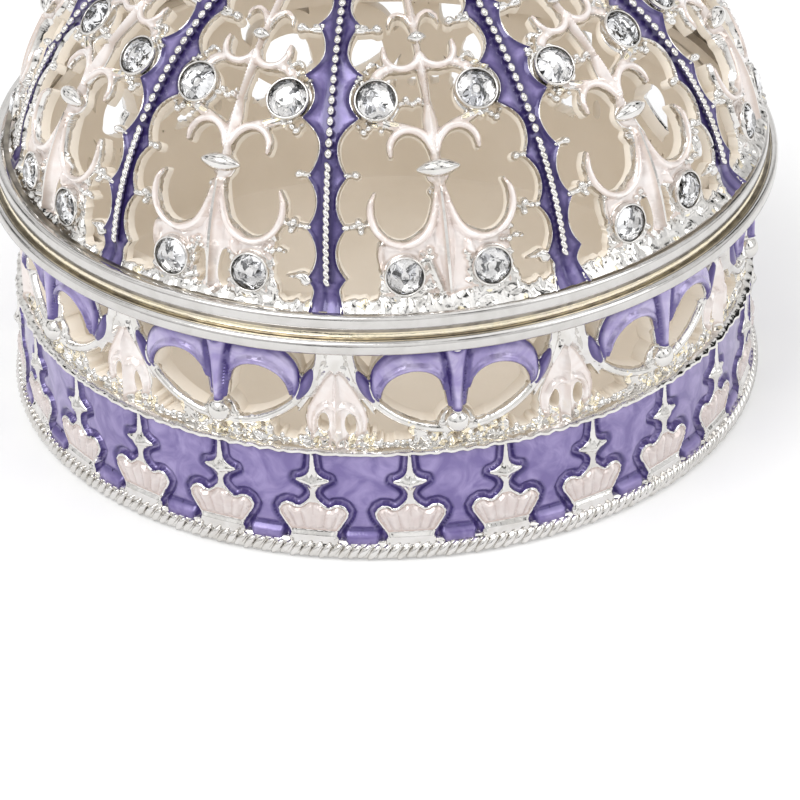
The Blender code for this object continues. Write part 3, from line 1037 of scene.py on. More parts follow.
def relief_mesh(relief: Relief, bend: Bend, angles: Sequence[float], materials: Sequence[Material],
                smooth: float = 50.0) -> Mesh:
    """Cut a relief out, bend it and repeat it round the box.

    Args:
        relief: the flat field of one bay.
        bend: the surface that it bends on to.
        angles: one for each bay.
        materials: the finishes, by slot.
        smooth: faces that meet at less than this many degrees are smooth.

    Returns:
        The mesh, with a slot for each finish and the enamel's depth as an attribute, which darkens the enamel
        for pooling and for painted shade.
    """
    corners, triangles, finishes, pool_and_shade = Flat.cut_from(relief).ring(bend, angles)
    mesh = bpy.data.meshes.new("relief")
    mesh.from_pydata(corners.tolist(), [], triangles.tolist())
    for material in materials:
        mesh.materials.append(material)
    mesh.polygons.foreach_set("material_index", finishes.astype(np.int32))
    depth = mesh.attributes.new("pool_and_shade", "FLOAT", "POINT")
    depth.data.foreach_set("value", pool_and_shade.astype(np.float32))
    mesh.update()
    piece = bpy.data.objects.new("relief", mesh)
    bpy.context.scene.collection.objects.link(piece)
    deselect()
    piece.select_set(True)
    bpy.context.view_layer.objects.active = piece
    bpy.ops.object.shade_smooth_by_angle(angle=math.radians(smooth))
    return taken(piece)


# --- finishes


class Nodes:
    """A node tree, with short ways to add to it."""

    def __init__(self, tree: bpy.types.NodeTree) -> None:
        """Start with a tree.

        Args:
            tree: the tree that nodes are added to.
        """
        self.tree = tree

    def node(self, kind: str, **settings: object) -> bpy.types.Node:
        """Add a node and set its properties and inputs, where a name with a capital is an input.

        Args:
            kind: the type of node.
            settings: the values.

        Returns:
            The node.
        """
        made = self.tree.nodes.new(kind)
        for key, value in settings.items():
            if key[0].isupper():
                made.inputs[key.replace("_", " ")].default_value = value
            else:
                setattr(made, key, value)
        return made

    def link(self, source: Socket, target: Socket) -> None:
        """Join two sockets."""
        self.tree.links.new(source, target)

    def ramp(self, value: Socket, stops: Sequence[tuple[float, Colour]]) -> Socket:
        """Colours along a value.

        Args:
            value: what runs along the colours.
            stops: each colour and where it stands.

        Returns:
            The colour.
        """
        made = self.node("ShaderNodeValToRGB")
        line = made.color_ramp
        while len(line.elements) < len(stops):
            line.elements.new(0.5)
        for element, (position, colour) in zip(line.elements, stops):
            element.position = position
            element.color = (*colour, 1.0)
        self.link(value, made.inputs["Fac"])
        return made.outputs["Color"]


class Graph(Nodes):
    """A material's nodes."""

    def __init__(self, name: str) -> None:
        """Start a Principled material.

        Args:
            name: the material's name.
        """
        self.material = bpy.data.materials.new(name)
        self.material.use_nodes = True
        super().__init__(self.material.node_tree)
        self.shader = self.tree.nodes["Principled BSDF"]

    def place(self) -> Socket:
        """The place on the box that patterns are laid on."""
        return self.node("ShaderNodeTexCoord").outputs["Object"]

    def noise(self, size: float, detail: float = 3.0, twist: float = 0.0) -> Socket:
        """A noise whose lumps are about so many millimetres across.

        Args:
            size: the size of its lumps.
            detail: how many finer layers it has.
            twist: how far it is distorted.

        Returns:
            The noise.
        """
        made = self.node("ShaderNodeTexNoise", Scale=1.0 / (size * MM), Detail=detail, Distortion=twist)
        self.link(self.place(), made.inputs["Vector"])
        return made.outputs["Fac"]

    def mix(self, share: Socket, first: Socket, second: Socket) -> Socket:
        """Mix two colours.

        Args:
            share: how much of the second.
            first: the first colour.
            second: the second colour.

        Returns:
            The mixed colour.
        """
        made = self.node("ShaderNodeMix", data_type="RGBA", blend_type="MIX")
        for name, source in (("Factor", share), ("A", first), ("B", second)):
            self.link(source, made.inputs[name])
        return made.outputs["Result"]

    def math(self, operation: str, *values: Socket | float) -> Socket:
        """Work out a value from others.

        Args:
            operation: what is done with them.
            values: sockets or numbers.

        Returns:
            The value.
        """
        made = self.node("ShaderNodeMath", operation=operation)
        for slot, value in zip(made.inputs, values):
            if isinstance(value, (int, float)):
                slot.default_value = value
            else:
                self.link(value, slot)
        return made.outputs[0]

    def bump(self, heights: Sequence[tuple[Socket, float]]) -> None:
        """Raise the surface by fields, each with its height in millimetres.

        Args:
            heights: each field and its height.
        """
        normal = None
        for value, height in heights:
            made = self.node("ShaderNodeBump", Strength=1.0, Distance=height * MM)
            self.link(value, made.inputs["Height"])
            if normal is not None:
                self.link(normal, made.inputs["Normal"])
            normal = made.outputs["Normal"]
        self.link(normal, self.shader.inputs["Normal"])

    def set(self, **values: object) -> None:
        """Set the shader's own sockets."""
        for key, value in values.items():
            self.shader.inputs[key.replace("_", " ")].default_value = value


@dataclass(frozen=True)
class Metal:
    """A plated metal finish.

    Attributes:
        name: the material's name.
        light, dark: the two colours that it wanders between.
        roughness: how matt it is.
        lump: height of its casting lumps, in millimetres.
    """

    name: str
    light: Colour
    dark: Colour
    roughness: float
    lump: float

    def material(self) -> Material:
        """Make the material.

        Returns:
            The material.
        """
        graph = Graph(self.name)
        graph.set(Metallic=1.0)
        tone = graph.ramp(graph.noise(1.6, 2.0, 0.6), [(0.35, self.dark), (0.6, self.light)])
        graph.link(tone, graph.shader.inputs["Base Color"])
        worn = graph.math("MULTIPLY_ADD", graph.noise(0.5), 0.1, self.roughness - 0.05)
        graph.link(worn, graph.shader.inputs["Roughness"])
        graph.bump([(graph.noise(1.3, 1.0), self.lump), (graph.noise(0.35, 2.0), 0.35 * self.lump)])
        return graph.material


@dataclass(frozen=True)
class Enamel:
    """A poured enamel, darker along its borders, partly in the deeper colour where it pools and partly as
    painted shade.

    Attributes:
        name: the material's name.
        edge, body, pearl: its colours at its border (pooled colour and painted shade), over its face and in
            its pearly swirls.
        reach: how far the darker border of pooled colour and painted shade goes in, in millimetres.
        roughness: how matt it is below its gloss.
        sheen: how metallic its pearl is.
    """

    name: str
    edge: Colour
    body: Colour
    pearl: Colour
    reach: float
    roughness: float
    sheen: float

    def material(self) -> Material:
        """Make the material.

        Returns:
            The material.
        """
        graph = Graph(self.name)
        graph.set(Metallic=self.sheen, Roughness=self.roughness, Coat_Weight=0.7, Coat_Roughness=0.09)
        depth = graph.node("ShaderNodeAttribute", attribute_name="pool_and_shade").outputs["Fac"]
        share = graph.math("DIVIDE", depth, self.reach)
        wobble = graph.math("ADD", share, graph.math("MULTIPLY_ADD", graph.noise(1.1), 0.5, -0.25))
        swirl = graph.ramp(graph.noise(2.4, 5.0, 1.6), [(0.38, self.body), (0.68, self.pearl)])
        edge = graph.node("ShaderNodeRGB")
        edge.outputs[0].default_value = (*self.edge, 1.0)
        # Pooled colour and painted shade: near its borders the enamel is mixed towards its dark edge colour.
        share = graph.ramp(wobble, [(0.27, (0.0, 0.0, 0.0)), (0.95, (1.0, 1.0, 1.0))])
        graph.link(graph.mix(share, edge.outputs[0], swirl), graph.shader.inputs["Base Color"])
        graph.bump([(graph.noise(1.5, 2.0, 0.5), 0.05), (graph.noise(0.4, 2.0), 0.008)])
        return graph.material


@dataclass(frozen=True)
class Lining:
    """The satin metal inside the box, which wanders between a colour and a darker shade of it."""

    name: str = "satin_lining"
    colour: Colour = (0.93, 0.86, 0.765)
    shade: Colour = (0.87, 0.795, 0.69)

    def material(self) -> Material:
        """Make the material.

        Returns:
            The material.
        """
        graph = Graph(self.name)
        graph.set(Metallic=0.0, Roughness=0.5)
        tone = graph.ramp(graph.noise(7.0, 3.0), [(0.3, self.shade), (0.7, self.colour)])
        graph.link(tone, graph.shader.inputs["Base Color"])
        graph.bump([(graph.noise(2.0, 2.0), 0.03), (graph.noise(0.3, 2.0), 0.006)])
        return graph.material


@dataclass(frozen=True)
class Foil:
    """One shade of the mirror behind a stone; the shades paint the facets' bright and dark reflections."""

    name: str
    shade: float

    def material(self) -> Material:
        """Make the material.

        Returns:
            The material.
        """
        graph = Graph(self.name)
        graph.set(Metallic=1.0, Roughness=0.03)
        cool = [(0.3, (0.94 * self.shade, 0.94 * self.shade, 0.97 * self.shade)), (0.7, (self.shade,) * 3)]
        graph.link(graph.ramp(graph.noise(0.5, 1.0), cool), graph.shader.inputs["Base Color"])
        return graph.material


@dataclass(frozen=True)
class Glass:
    """Clear cut glass."""

    name: str = "clear_cut_glass"

    def material(self) -> Material:
        """Make the material.

        Returns:
            The material.
        """
        graph = Graph(self.name)
        graph.set(Base_Color=(0.98, 0.985, 1.0, 1.0), Roughness=0.0, IOR=1.56, Transmission_Weight=1.0)
        return graph.material


def made(kind: type, *values: object) -> Material:
    """A field that holds a new material.

    Args:
        kind: the kind of finish.
        values: what the finish is made from.

    Returns:
        The field.
    """
    return field(default_factory=lambda: kind(*values).material())


@dataclass
class Finishes:
    """The finishes of the whole box."""

    silver: Material = made(Metal, "bright_silver", (0.77, 0.755, 0.735), (0.68, 0.66, 0.63), 0.11, 0.05)
    rim_silver: Material = made(Metal, "rim_silver", (0.66, 0.645, 0.63), (0.6, 0.585, 0.565), 0.16, 0.02)
    gold: Material = made(Metal, "gold_wash", (0.92, 0.83, 0.62), (0.87, 0.79, 0.64), 0.15, 0.06)
    purple: Material = made(Enamel, "purple_enamel", (0.075, 0.052, 0.205), (0.162, 0.122, 0.326),
                            (0.31, 0.255, 0.5), 0.58, 0.3, 0.35)
    # A lighter copy of the purple enamel, painted light for the gallery's lit petals, lip and wedge.
    lit_lilac: Material = made(Enamel, "lilac_enamel", (0.075, 0.05, 0.215), (0.32, 0.265, 0.525),
                           (0.53, 0.475, 0.71), 0.38, 0.26, 0.4)
    pink: Material = made(Enamel, "pearl_pink_enamel", (0.66, 0.565, 0.51), (0.84, 0.76, 0.725),
                          (0.92, 0.875, 0.855), 0.2, 0.2, 0.35)
    deep: Material = made(Enamel, "deep_purple_enamel", (0.036, 0.022, 0.125), (0.118, 0.088, 0.255),
                          (0.235, 0.19, 0.41), 0.55, 0.28, 0.35)
    blush: Material = made(Enamel, "blush_enamel", (0.55, 0.45, 0.41), (0.66, 0.575, 0.55),
                           (0.73, 0.665, 0.645), 0.18, 0.24, 0.35)
    lining: Material = made(Lining)
    # Painted shadow: a dark silver for the gaps at the rims and the inner walls of the stone cups, which are
    # dark only from shade.
    shadow_silver: Material = made(Metal, "tarnished_silver", (0.36, 0.325, 0.275), (0.19, 0.17, 0.145), 0.3, 0.03)
    # Painted reflections: the four shades of the stones' mirror facets.
    foils: list[Material] = field(default_factory=lambda: [
        Foil(name, shade).material() for name, shade in
        (("mirror_bright", 0.66), ("mirror_grey", 0.27), ("mirror_dim", 0.1), ("mirror_dark", 0.02))])
    glass: Material = made(Glass)

    def casting(self, ground: Material, fill: Material) -> list[Material]:
        """The finishes of a relief, by slot, with its own purple and its own pink."""
        return [self.silver, ground, fill, self.gold, self.lining, self.lit_lilac]


# --- lid


@dataclass
class Ribs:
    """Ten enamelled ribs with scalloped edges and a cord of beads.

    Attributes:
        dome: the surface that they stand on.
        scallops: rows of a cusp's arc, its half width and the half width of the waist above it.
        top: arc where they end.
        crest: height of their edges.
    """

    dome: Dome
    scallops: tuple[tuple[float, float, float], ...] = (
        (-0.1, 1.6, 0.85), (3.6, 1.6, 0.85), (7.35, 1.58, 0.85), (11.05, 1.6, 0.8), (15.35, 2.25, 1.42),
        (18.6, 2.3, 0.98), (22.8, 1.7, 0.8), (26.5, 1.5, 0.72), (30.1, 1.25, 0.62), (33.6, 1.0, 0.55),
        (37.0, 0.8, 0.5))
    top: float = 35.2
    crest: float = 0.45

    def relief(self) -> Relief:
        """Lay one rib out flat.

        Returns:
            The field.
        """
        relief = Relief(-2.9, 2.9, 1.15, self.top, 0.6, fine=0.15, coarse=0.4, dip=0.1, rings=(0.11, 0.3))
        x, y = np.abs(relief.x), relief.y
        arcs, cusps, waists = (np.array(row) for row in zip(*self.scallops))
        place = np.clip(np.searchsorted(arcs, y, side="right") - 1, 0, len(arcs) - 2)
        swing = (2.0 * y - arcs[place] - arcs[place + 1]) / (arcs[place + 1] - arcs[place])
        tip = np.where(swing < 0, cusps[place], cusps[place + 1])
        inside = 0.85 * (waists[place] + (tip - waists[place]) * np.abs(swing) ** 2.1 - x)
        foot = np.where(y < 3.6, 0.92 + 0.3 * np.maximum(3.0 - y, 0.0) - x, -FAR)
        inside = soft_max(inside, foot, 0.2)
        width = np.maximum(inside + x, 0.3)
        across = np.clip(x / width, 0.0, 1.0)
        hollow = self.crest - 0.24 * (1.0 - across) - 0.12 * np.sin(math.pi * across)
        share = np.clip(inside / 0.12, 0.0, 1.0)
        lift = hollow * np.sqrt(1.0 - (1.0 - share) ** 2)
        wave = np.abs(np.sin(2.9 * relief.x + 0.4))
        ridges = 0.15 * wave * ease((3.3 - y) / 0.6) * ease(inside / 0.3)
        face = np.where(inside < 0, BANK * inside, lift + ridges)
        relief.merge(WHOLE, inside, face, Finish.PURPLE, 0.15, 0.01)
        purple = relief.tints[Finish.PURPLE]
        # Painted shade, with pooled colour: the purple darkens along the bead row, and in the valleys between
        # the foot's ridges.
        bead_row_shade = 0.03 + 0.7 * np.maximum(x - 0.3, 0.0)
        purple[:] = np.minimum(purple, np.where(y > 3.2, bead_row_shade, 0.03 + 0.4 * wave))
        return relief

    def beads(self) -> list[Matrix]:
        """Places of the beads along every rib: oval ones high up, a close-set cord low down.

        Returns:
            One matrix for each bead.
        """
        cords = ((np.arange(3.4, 12.3, 0.56), 0.36, 26, (0.76, 1.3, 0.9, 1.0)),
                 (np.arange(12.75, self.top - 0.2, 0.8), 0.4, 0, (0.9, 1.18, 0.9, 1.0)))
        places = []
        for angle in around(BAYS, RIB_START):
            for arcs, lift, lean, size in cords:
                turn, shape = Matrix.Rotation(math.radians(lean), 4, "Z"), Matrix.Diagonal(size)
                places += [self.dome.upright(0.0, float(arc), lift, angle) @ turn @ shape for arc in arcs]
        return places

    def build(self, finishes: Finishes) -> None:
        """Make the ribs and their beads.

        Args:
            finishes: the box's finishes.
        """
        casting = finishes.casting(finishes.deep, finishes.pink)
        mesh = relief_mesh(self.relief(), self.dome.bend, around(BAYS, RIB_START), casting)
        put("lid_ribs", mesh, casting, self.dome.seat)
        put("lid_rib_beads", repeated(ball(0.32, 2), self.beads()), [finishes.silver], self.dome.seat)


@dataclass
class Panels:
    """Ten openwork panels, each with fleurs-de-lis, one over the other.

    Attributes:
        dome: the surface that they fill.
        low, high: arcs where they start and end.
        whole: the bays whose ground is not pierced.
    """

    dome: Dome
    low: float = 1.15
    high: float = 33.0
    whole: tuple[int, ...] = (0, 3, 5, 7)

    def sill(self, relief: Relief) -> None:
        """The rough ground along the rim.

        Args:
            relief: the field.
        """
        relief.patch([(-9.1, 0.8), (9.1, 0.8), (9.1, 1.8), (7.4, 1.85), (5.3, 1.75), (4.95, 2.8), (2.0, 2.7),
                      (1.6, 2.05), (-1.6, 1.95), (-2.0, 2.6), (-4.95, 2.8), (-5.3, 1.8), (-7.2, 1.7),
                      (-9.1, 1.8)], 0.22, 0.3)
        relief.scatter((
            ((-5.0, 1.3, -1.5, 2.9), 34, (0.16, 0.38), 11, 0.12, 0.12, 1.8, 1.6, (0.5, 1.4)),
            ((1.5, 1.3, 5.0, 2.9), 34, (0.16, 0.38), 13, 0.12, 0.12, 1.8, 1.6, (0.5, 1.4)),
            ((-8.6, 1.15, 8.6, 1.95), 80, (0.13, 0.3), 12, 0.12, 0.2, 2.4, 0.8, (0.5, 1.2))))

    def lower_fleur(self, relief: Relief, pierced: bool) -> None:
        """The large fleur-de-lis: a ridged leaf between two hooks over a pink ground.

        Args:
            relief: the field.
            pierced: whether the ground is open on both sides of the leaf's foot.
        """
        ground = [(0.0, 1.9), (1.4, 2.2), (4.75, 2.2), (4.85, 3.8), (4.72, 5.2), (4.9, 6.2), (3.0, 6.2),
                  (0.9, 7.4), (0.0, 7.4)]
        mirrored = [(-x, y) for x, y in ground[-2:0:-1]]
        relief.patch([*ground, *mirrored], 0.16, 0.15, Finish.PINK, 0.08)
        if pierced:
            relief.pierce((0.98, 3.65), (0.62, 1.45))
        relief.scatter((
            ((-4.9, 2.1, -1.0, 3.0), 20, (0.13, 0.32), 21, 0.15),
            ((1.0, 2.1, 4.9, 3.0), 20, (0.13, 0.32), 22, 0.15),
            ((1.3, 2.4, 1.8, 5.4), 14, (0.1, 0.2), 23, 0.15),
            ((-1.8, 2.6, -1.3, 5.4), 14, (0.1, 0.2), 24, 0.15),
            ((4.5, 2.6, 4.95, 5.6), 12, (0.1, 0.2), 25, 0.15),
            ((-4.95, 2.6, -4.5, 4.6), 9, (0.1, 0.2), 26, 0.15)))
        for side in (-1, 1):
            relief.stroke([(side * 3.15, 3.8, 1.52)], 0.28, 0.1, both=False, blend=0.08)
        if not pierced:
            relief.stroke([(-1.35, 5.0, 0.22), (-0.95, 3.6, 0.3), (-0.5, 2.3, 0.24)], 0.45, 0.1, both=False)
        relief.petal([(-4.72, 4.3, 0.22), (-4.78, 5.3, 0.3), (-4.68, 6.0, 0.26)], 0.62, 0.16,
                     base=0.1, both=False)
        relief.petal([(1.62, 5.75, 0.3), (1.72, 5.35, 0.36), (1.95, 4.95, 0.2)], 0.62, 0.22,
                     base=0.1, both=False)
        relief.dots([(4.15, 5.55, 0.22), (4.65, 5.45, 0.28), (5.2, 5.62, 0.27), (5.6, 5.5, 0.2),
                     (-1.2, 5.5, 0.24), (-1.75, 5.25, 0.2), (-0.95, 5.0, 0.18), (4.9, 6.3, 0.2)],
                    0.55, 0.12, both=False, blend=0.1)
        relief.petal([(0.24, 10.4, 0.14), (0.36, 9.5, 0.24), (0.58, 8.4, 0.33), (1.02, 7.25, 0.38),
                      (1.75, 6.42, 0.37), (2.8, 6.03, 0.34), (3.9, 6.25, 0.33), (4.72, 6.95, 0.35),
                      (5.12, 7.95, 0.36), (5.08, 9.0, 0.3), (4.7, 9.85, 0.16)], 0.85, 0.09, blend=0.3)
        relief.leaf([(2.0, 0.12), (3.0, 0.34), (4.5, 0.58), (6.0, 0.8), (7.4, 0.74), (9.0, 0.54),
                     (9.9, 0.42), (10.4, 0.5), (10.8, 0.74), (11.1, 0.95)], 1.05, 0.09, blend=0.3)
        relief.stroke([(0.0, 2.4, 0.06), (0.0, 4.5, 0.1), (0.0, 7.4, 0.1), (0.0, 10.0, 0.07)], 1.16, 0.95,
                      both=False, blend=0.1)
        relief.stroke([(-0.62, 10.0, 0.1), (-0.78, 9.75, 0.16), (-0.66, 9.4, 0.1)], 0.5, both=False)

    def upper_fleur(self, relief: Relief) -> None:
        """The drooping fleur-de-lis and the small upturned one above it.

        Args:
            relief: the field.
        """
        relief.petal([(0.2, 12.6, 0.24), (0.45, 13.5, 0.38), (1.1, 14.15, 0.38), (1.9, 14.3, 0.34),
                      (2.65, 13.98, 0.33), (3.12, 13.3, 0.31), (3.2, 12.5, 0.22)], 0.78, 0.08)
        relief.leaf([(11.3, 0.45), (12.4, 0.4), (13.4, 0.48), (14.6, 0.58), (15.6, 0.44), (16.4, 0.26)],
                    0.95, 0.07)
        relief.petal([(1.5, 14.4, 0.36), (2.6, 14.7, 0.44), (3.5, 15.1, 0.42)], 0.5, 0.12)
        relief.stroke([(2.4, 14.75, 0.18), (3.2, 14.9, 0.2)], 0.5, finish=Finish.GOLD, rim=0.02)
        relief.stroke([(0.0, 16.35, 0.2), (-1.2, 16.3, 0.17), (-2.3, 16.4, 0.2)], 0.32, both=False)
        relief.dots([(-0.62, 16.45, 0.3), (-1.12, 16.2, 0.26), (-1.5, 16.62, 0.28), (-1.95, 16.3, 0.22)],
                    0.75, 0.2, both=False)
        relief.petal([(0.12, 19.9, 0.3), (0.32, 19.4, 0.36), (0.9, 19.02, 0.36), (1.55, 18.98, 0.35),
                      (2.15, 19.25, 0.34), (2.5, 19.9, 0.32), (2.48, 20.75, 0.2)], 0.78, 0.08)
        relief.leaf([(16.3, 0.28), (17.6, 0.33), (18.8, 0.4), (20.0, 0.3), (21.1, 0.28)], 0.95, 0.07)
        relief.petal([(1.9, 19.1, 0.34), (2.7, 19.0, 0.42), (3.3, 18.55, 0.44), (3.6, 17.9, 0.3)], 0.5, 0.12)
        relief.stroke([(2.9, 19.35, 0.14), (3.5, 19.6, 0.22), (3.9, 19.2, 0.16)], 0.55)
        relief.scatter((
            ((2.6, 18.2, 4.6, 19.0), 7, (0.12, 0.22), 31, 0.25, 0.5),
            ((-4.8, 18.2, -3.6, 19.0), 7, (0.12, 0.24), 32, 0.25),
            ((3.0, 14.5, 4.6, 15.1), 6, (0.12, 0.22), 33, 0.2, 0.3),
            ((-4.6, 14.4, -3.0, 15.1), 6, (0.12, 0.24), 34, 0.2, 0.3)))

    def topmost(self, relief: Relief) -> None:
        """The third fleur-de-lis, which runs up under the collar.

        Args:
            relief: the field.
        """
        relief.leaf([(21.3, 0.26), (23.0, 0.34), (25.0, 0.3), (28.0, 0.26), (32.9, 0.3)], 0.85, 0.07)
        relief.petal([(0.15, 22.4, 0.22), (0.5, 23.2, 0.26), (1.1, 23.5, 0.25), (1.65, 23.15, 0.22),
                      (1.85, 22.5, 0.11)], 0.68, 0.1)
        relief.petal([(0.0, 26.9, 0.22), (0.6, 26.4, 0.24), (1.3, 26.5, 0.22), (1.6, 27.2, 0.1)], 0.65, 0.09)
        relief.patch([(-3.2, 31.2), (3.2, 31.2), (3.2, 33.1), (-3.2, 33.1)], 0.2, 0.2)

    def stalks(self, relief: Relief) -> None:
        """What ties the fleurs to the ribs: seats of the upper stones, stalks and granules.

        Args:
            relief: the field.
        """
        for side in (-1, 1):
            relief.stroke([(side * 3.63, 16.6, 1.66)], 0.24, 0.0, both=False, blend=0.08)
        for arc, reach, radius in ((11.2, 2.05, 0.36), (22.4, 2.75, 0.42)):
            edge = self.dome.half_panel(arc)
            relief.stroke([(edge - 1.3, arc, 0.25), (edge - reach, arc, 0.17)], 0.4)
            relief.dots([(edge - reach, arc, radius)], 0.75, 0.1, blend=0.1)
        edge = self.dome.half_panel(7.4)
        relief.stroke([(edge - 1.3, 7.4, 0.3), (edge - 2.0, 7.45, 0.2), (5.4, 7.6, 0.18)], 0.4)
        relief.dots([(6.55, 7.5, 0.26), (6.05, 7.82, 0.33), (5.95, 7.12, 0.3), (5.6, 7.6, 0.24)], 0.75, 0.15)
        edge = self.dome.half_panel(3.6)
        relief.stroke([(edge - 1.5, 3.4, 0.5), (edge - 1.8, 3.75, 0.38), (edge - 2.4, 3.72, 0.2),
                       (edge - 3.0, 3.65, 0.1)], 0.6, both=False)
        relief.dots([(4.85, 14.3, 0.32), (4.45, 14.62, 0.26), (5.15, 14.75, 0.24), (4.75, 18.15, 0.26),
                     (4.4, 18.35, 0.22)], 0.65, 0.1, blend=0.1)
        for arc in (22.8, 26.5):
            edge = self.dome.half_panel(arc)
            relief.stroke([(edge - 1.25, arc, 0.25), (edge - 1.9, arc, 0.16)], 0.4)

    def relief(self, pierced: bool) -> Relief:
        """Lay one panel out flat, with its ground pierced or whole.

        Args:
            pierced: whether its ground is pierced.

        Returns:
            The field.
        """
        relief = Relief(-9.2, 9.2, self.low, self.high, 0.62)
        self.sill(relief)
        self.stalks(relief)
        self.lower_fleur(relief, pierced)
        self.upper_fleur(relief)
        self.topmost(relief)
        arcs = relief.ys
        reach = np.array([self.dome.half_panel(float(arc)) for arc in arcs])[:, None]
        reach = reach - np.interp(arcs, (2.6, 3.2), (1.02, 0.35))[:, None]
        relief.solid = np.minimum(relief.solid, reach - np.abs(relief.x))
        return relief

    def bosses(self) -> Mesh:
        """The polished silver bosses that stand between the fleurs.

        Returns:
            The bosses, as one mesh.
        """
        places = []
        for angle in around(BAYS, LID_START):
            for arc, lift, size in ((11.32, 0.85, (1.62, 0.68, 0.82)), (21.25, 0.66, (0.7, 0.46, 0.55))):
                places.append(self.dome.upright(0.0, arc, lift, angle) @ Matrix.Diagonal((*size, 1.0)))
        unit = ball(1.0, 4)
        for corner in unit.vertices:
            slim = 1.0 - 0.42 * (corner.co.x / MM) ** 2
            corner.co = (corner.co.x, corner.co.y * slim, corner.co.z * slim)
        return repeated(unit, places)

    def build(self, finishes: Finishes) -> None:
        """Make the panels and their bosses.

        Args:
            finishes: the box's finishes.
        """
        casting = finishes.casting(finishes.purple, finishes.pink)
        for name, pierced in (("whole", False), ("pierced", True)):
            angles = [angle for bay, angle in enumerate(around(BAYS, LID_START))
                      if (bay in self.whole) != pierced]
            mesh = relief_mesh(self.relief(pierced), self.dome.bend, angles, casting)
            piece = put(f"lid_panels_{name}", mesh, casting, self.dome.seat)
            if not pierced:
                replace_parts(piece, "lid")
        put("lid_bosses", self.bosses(), [finishes.silver], self.dome.seat)


def facets(shape: bmesh.types.BMesh, radius: float, count: int, share: float, height: float, shift: float,
           sway: float = 0.0, draw: np.random.Generator | None = None) -> list[bmesh.types.BMVert]:
    """Add a ring of corners to a stone or a mirror.

    Args:
        shape: what they are added to.
        radius: the stone's radius.
        count: how many corners.
        share: the ring's radius, in the stone's.
        height: the ring's height, in the stone's radius.
        shift: how far it is turned, in corners.
        sway: how far its corners stray.
        draw: chooses how each one strays.

    Returns:
        The corners.
    """
    corners = []
    for k in range(count):
        turn = 2 * math.pi * (k + shift) / count
        out, up = (draw.uniform(-sway, sway) if draw else 0.0 for _ in range(2))
        reach = radius * share * (1.0 + out)
        corners.append(shape.verts.new((reach * math.cos(turn) * MM, reach * math.sin(turn) * MM,
                                        radius * (height + up) * MM)))
    return corners


@dataclass(frozen=True)
class StoneRow:
    """One row of stones: its name, and their radius, offset from the panel's middle and arc."""

    name: str
    radius: float
    offset: float
    arc: float


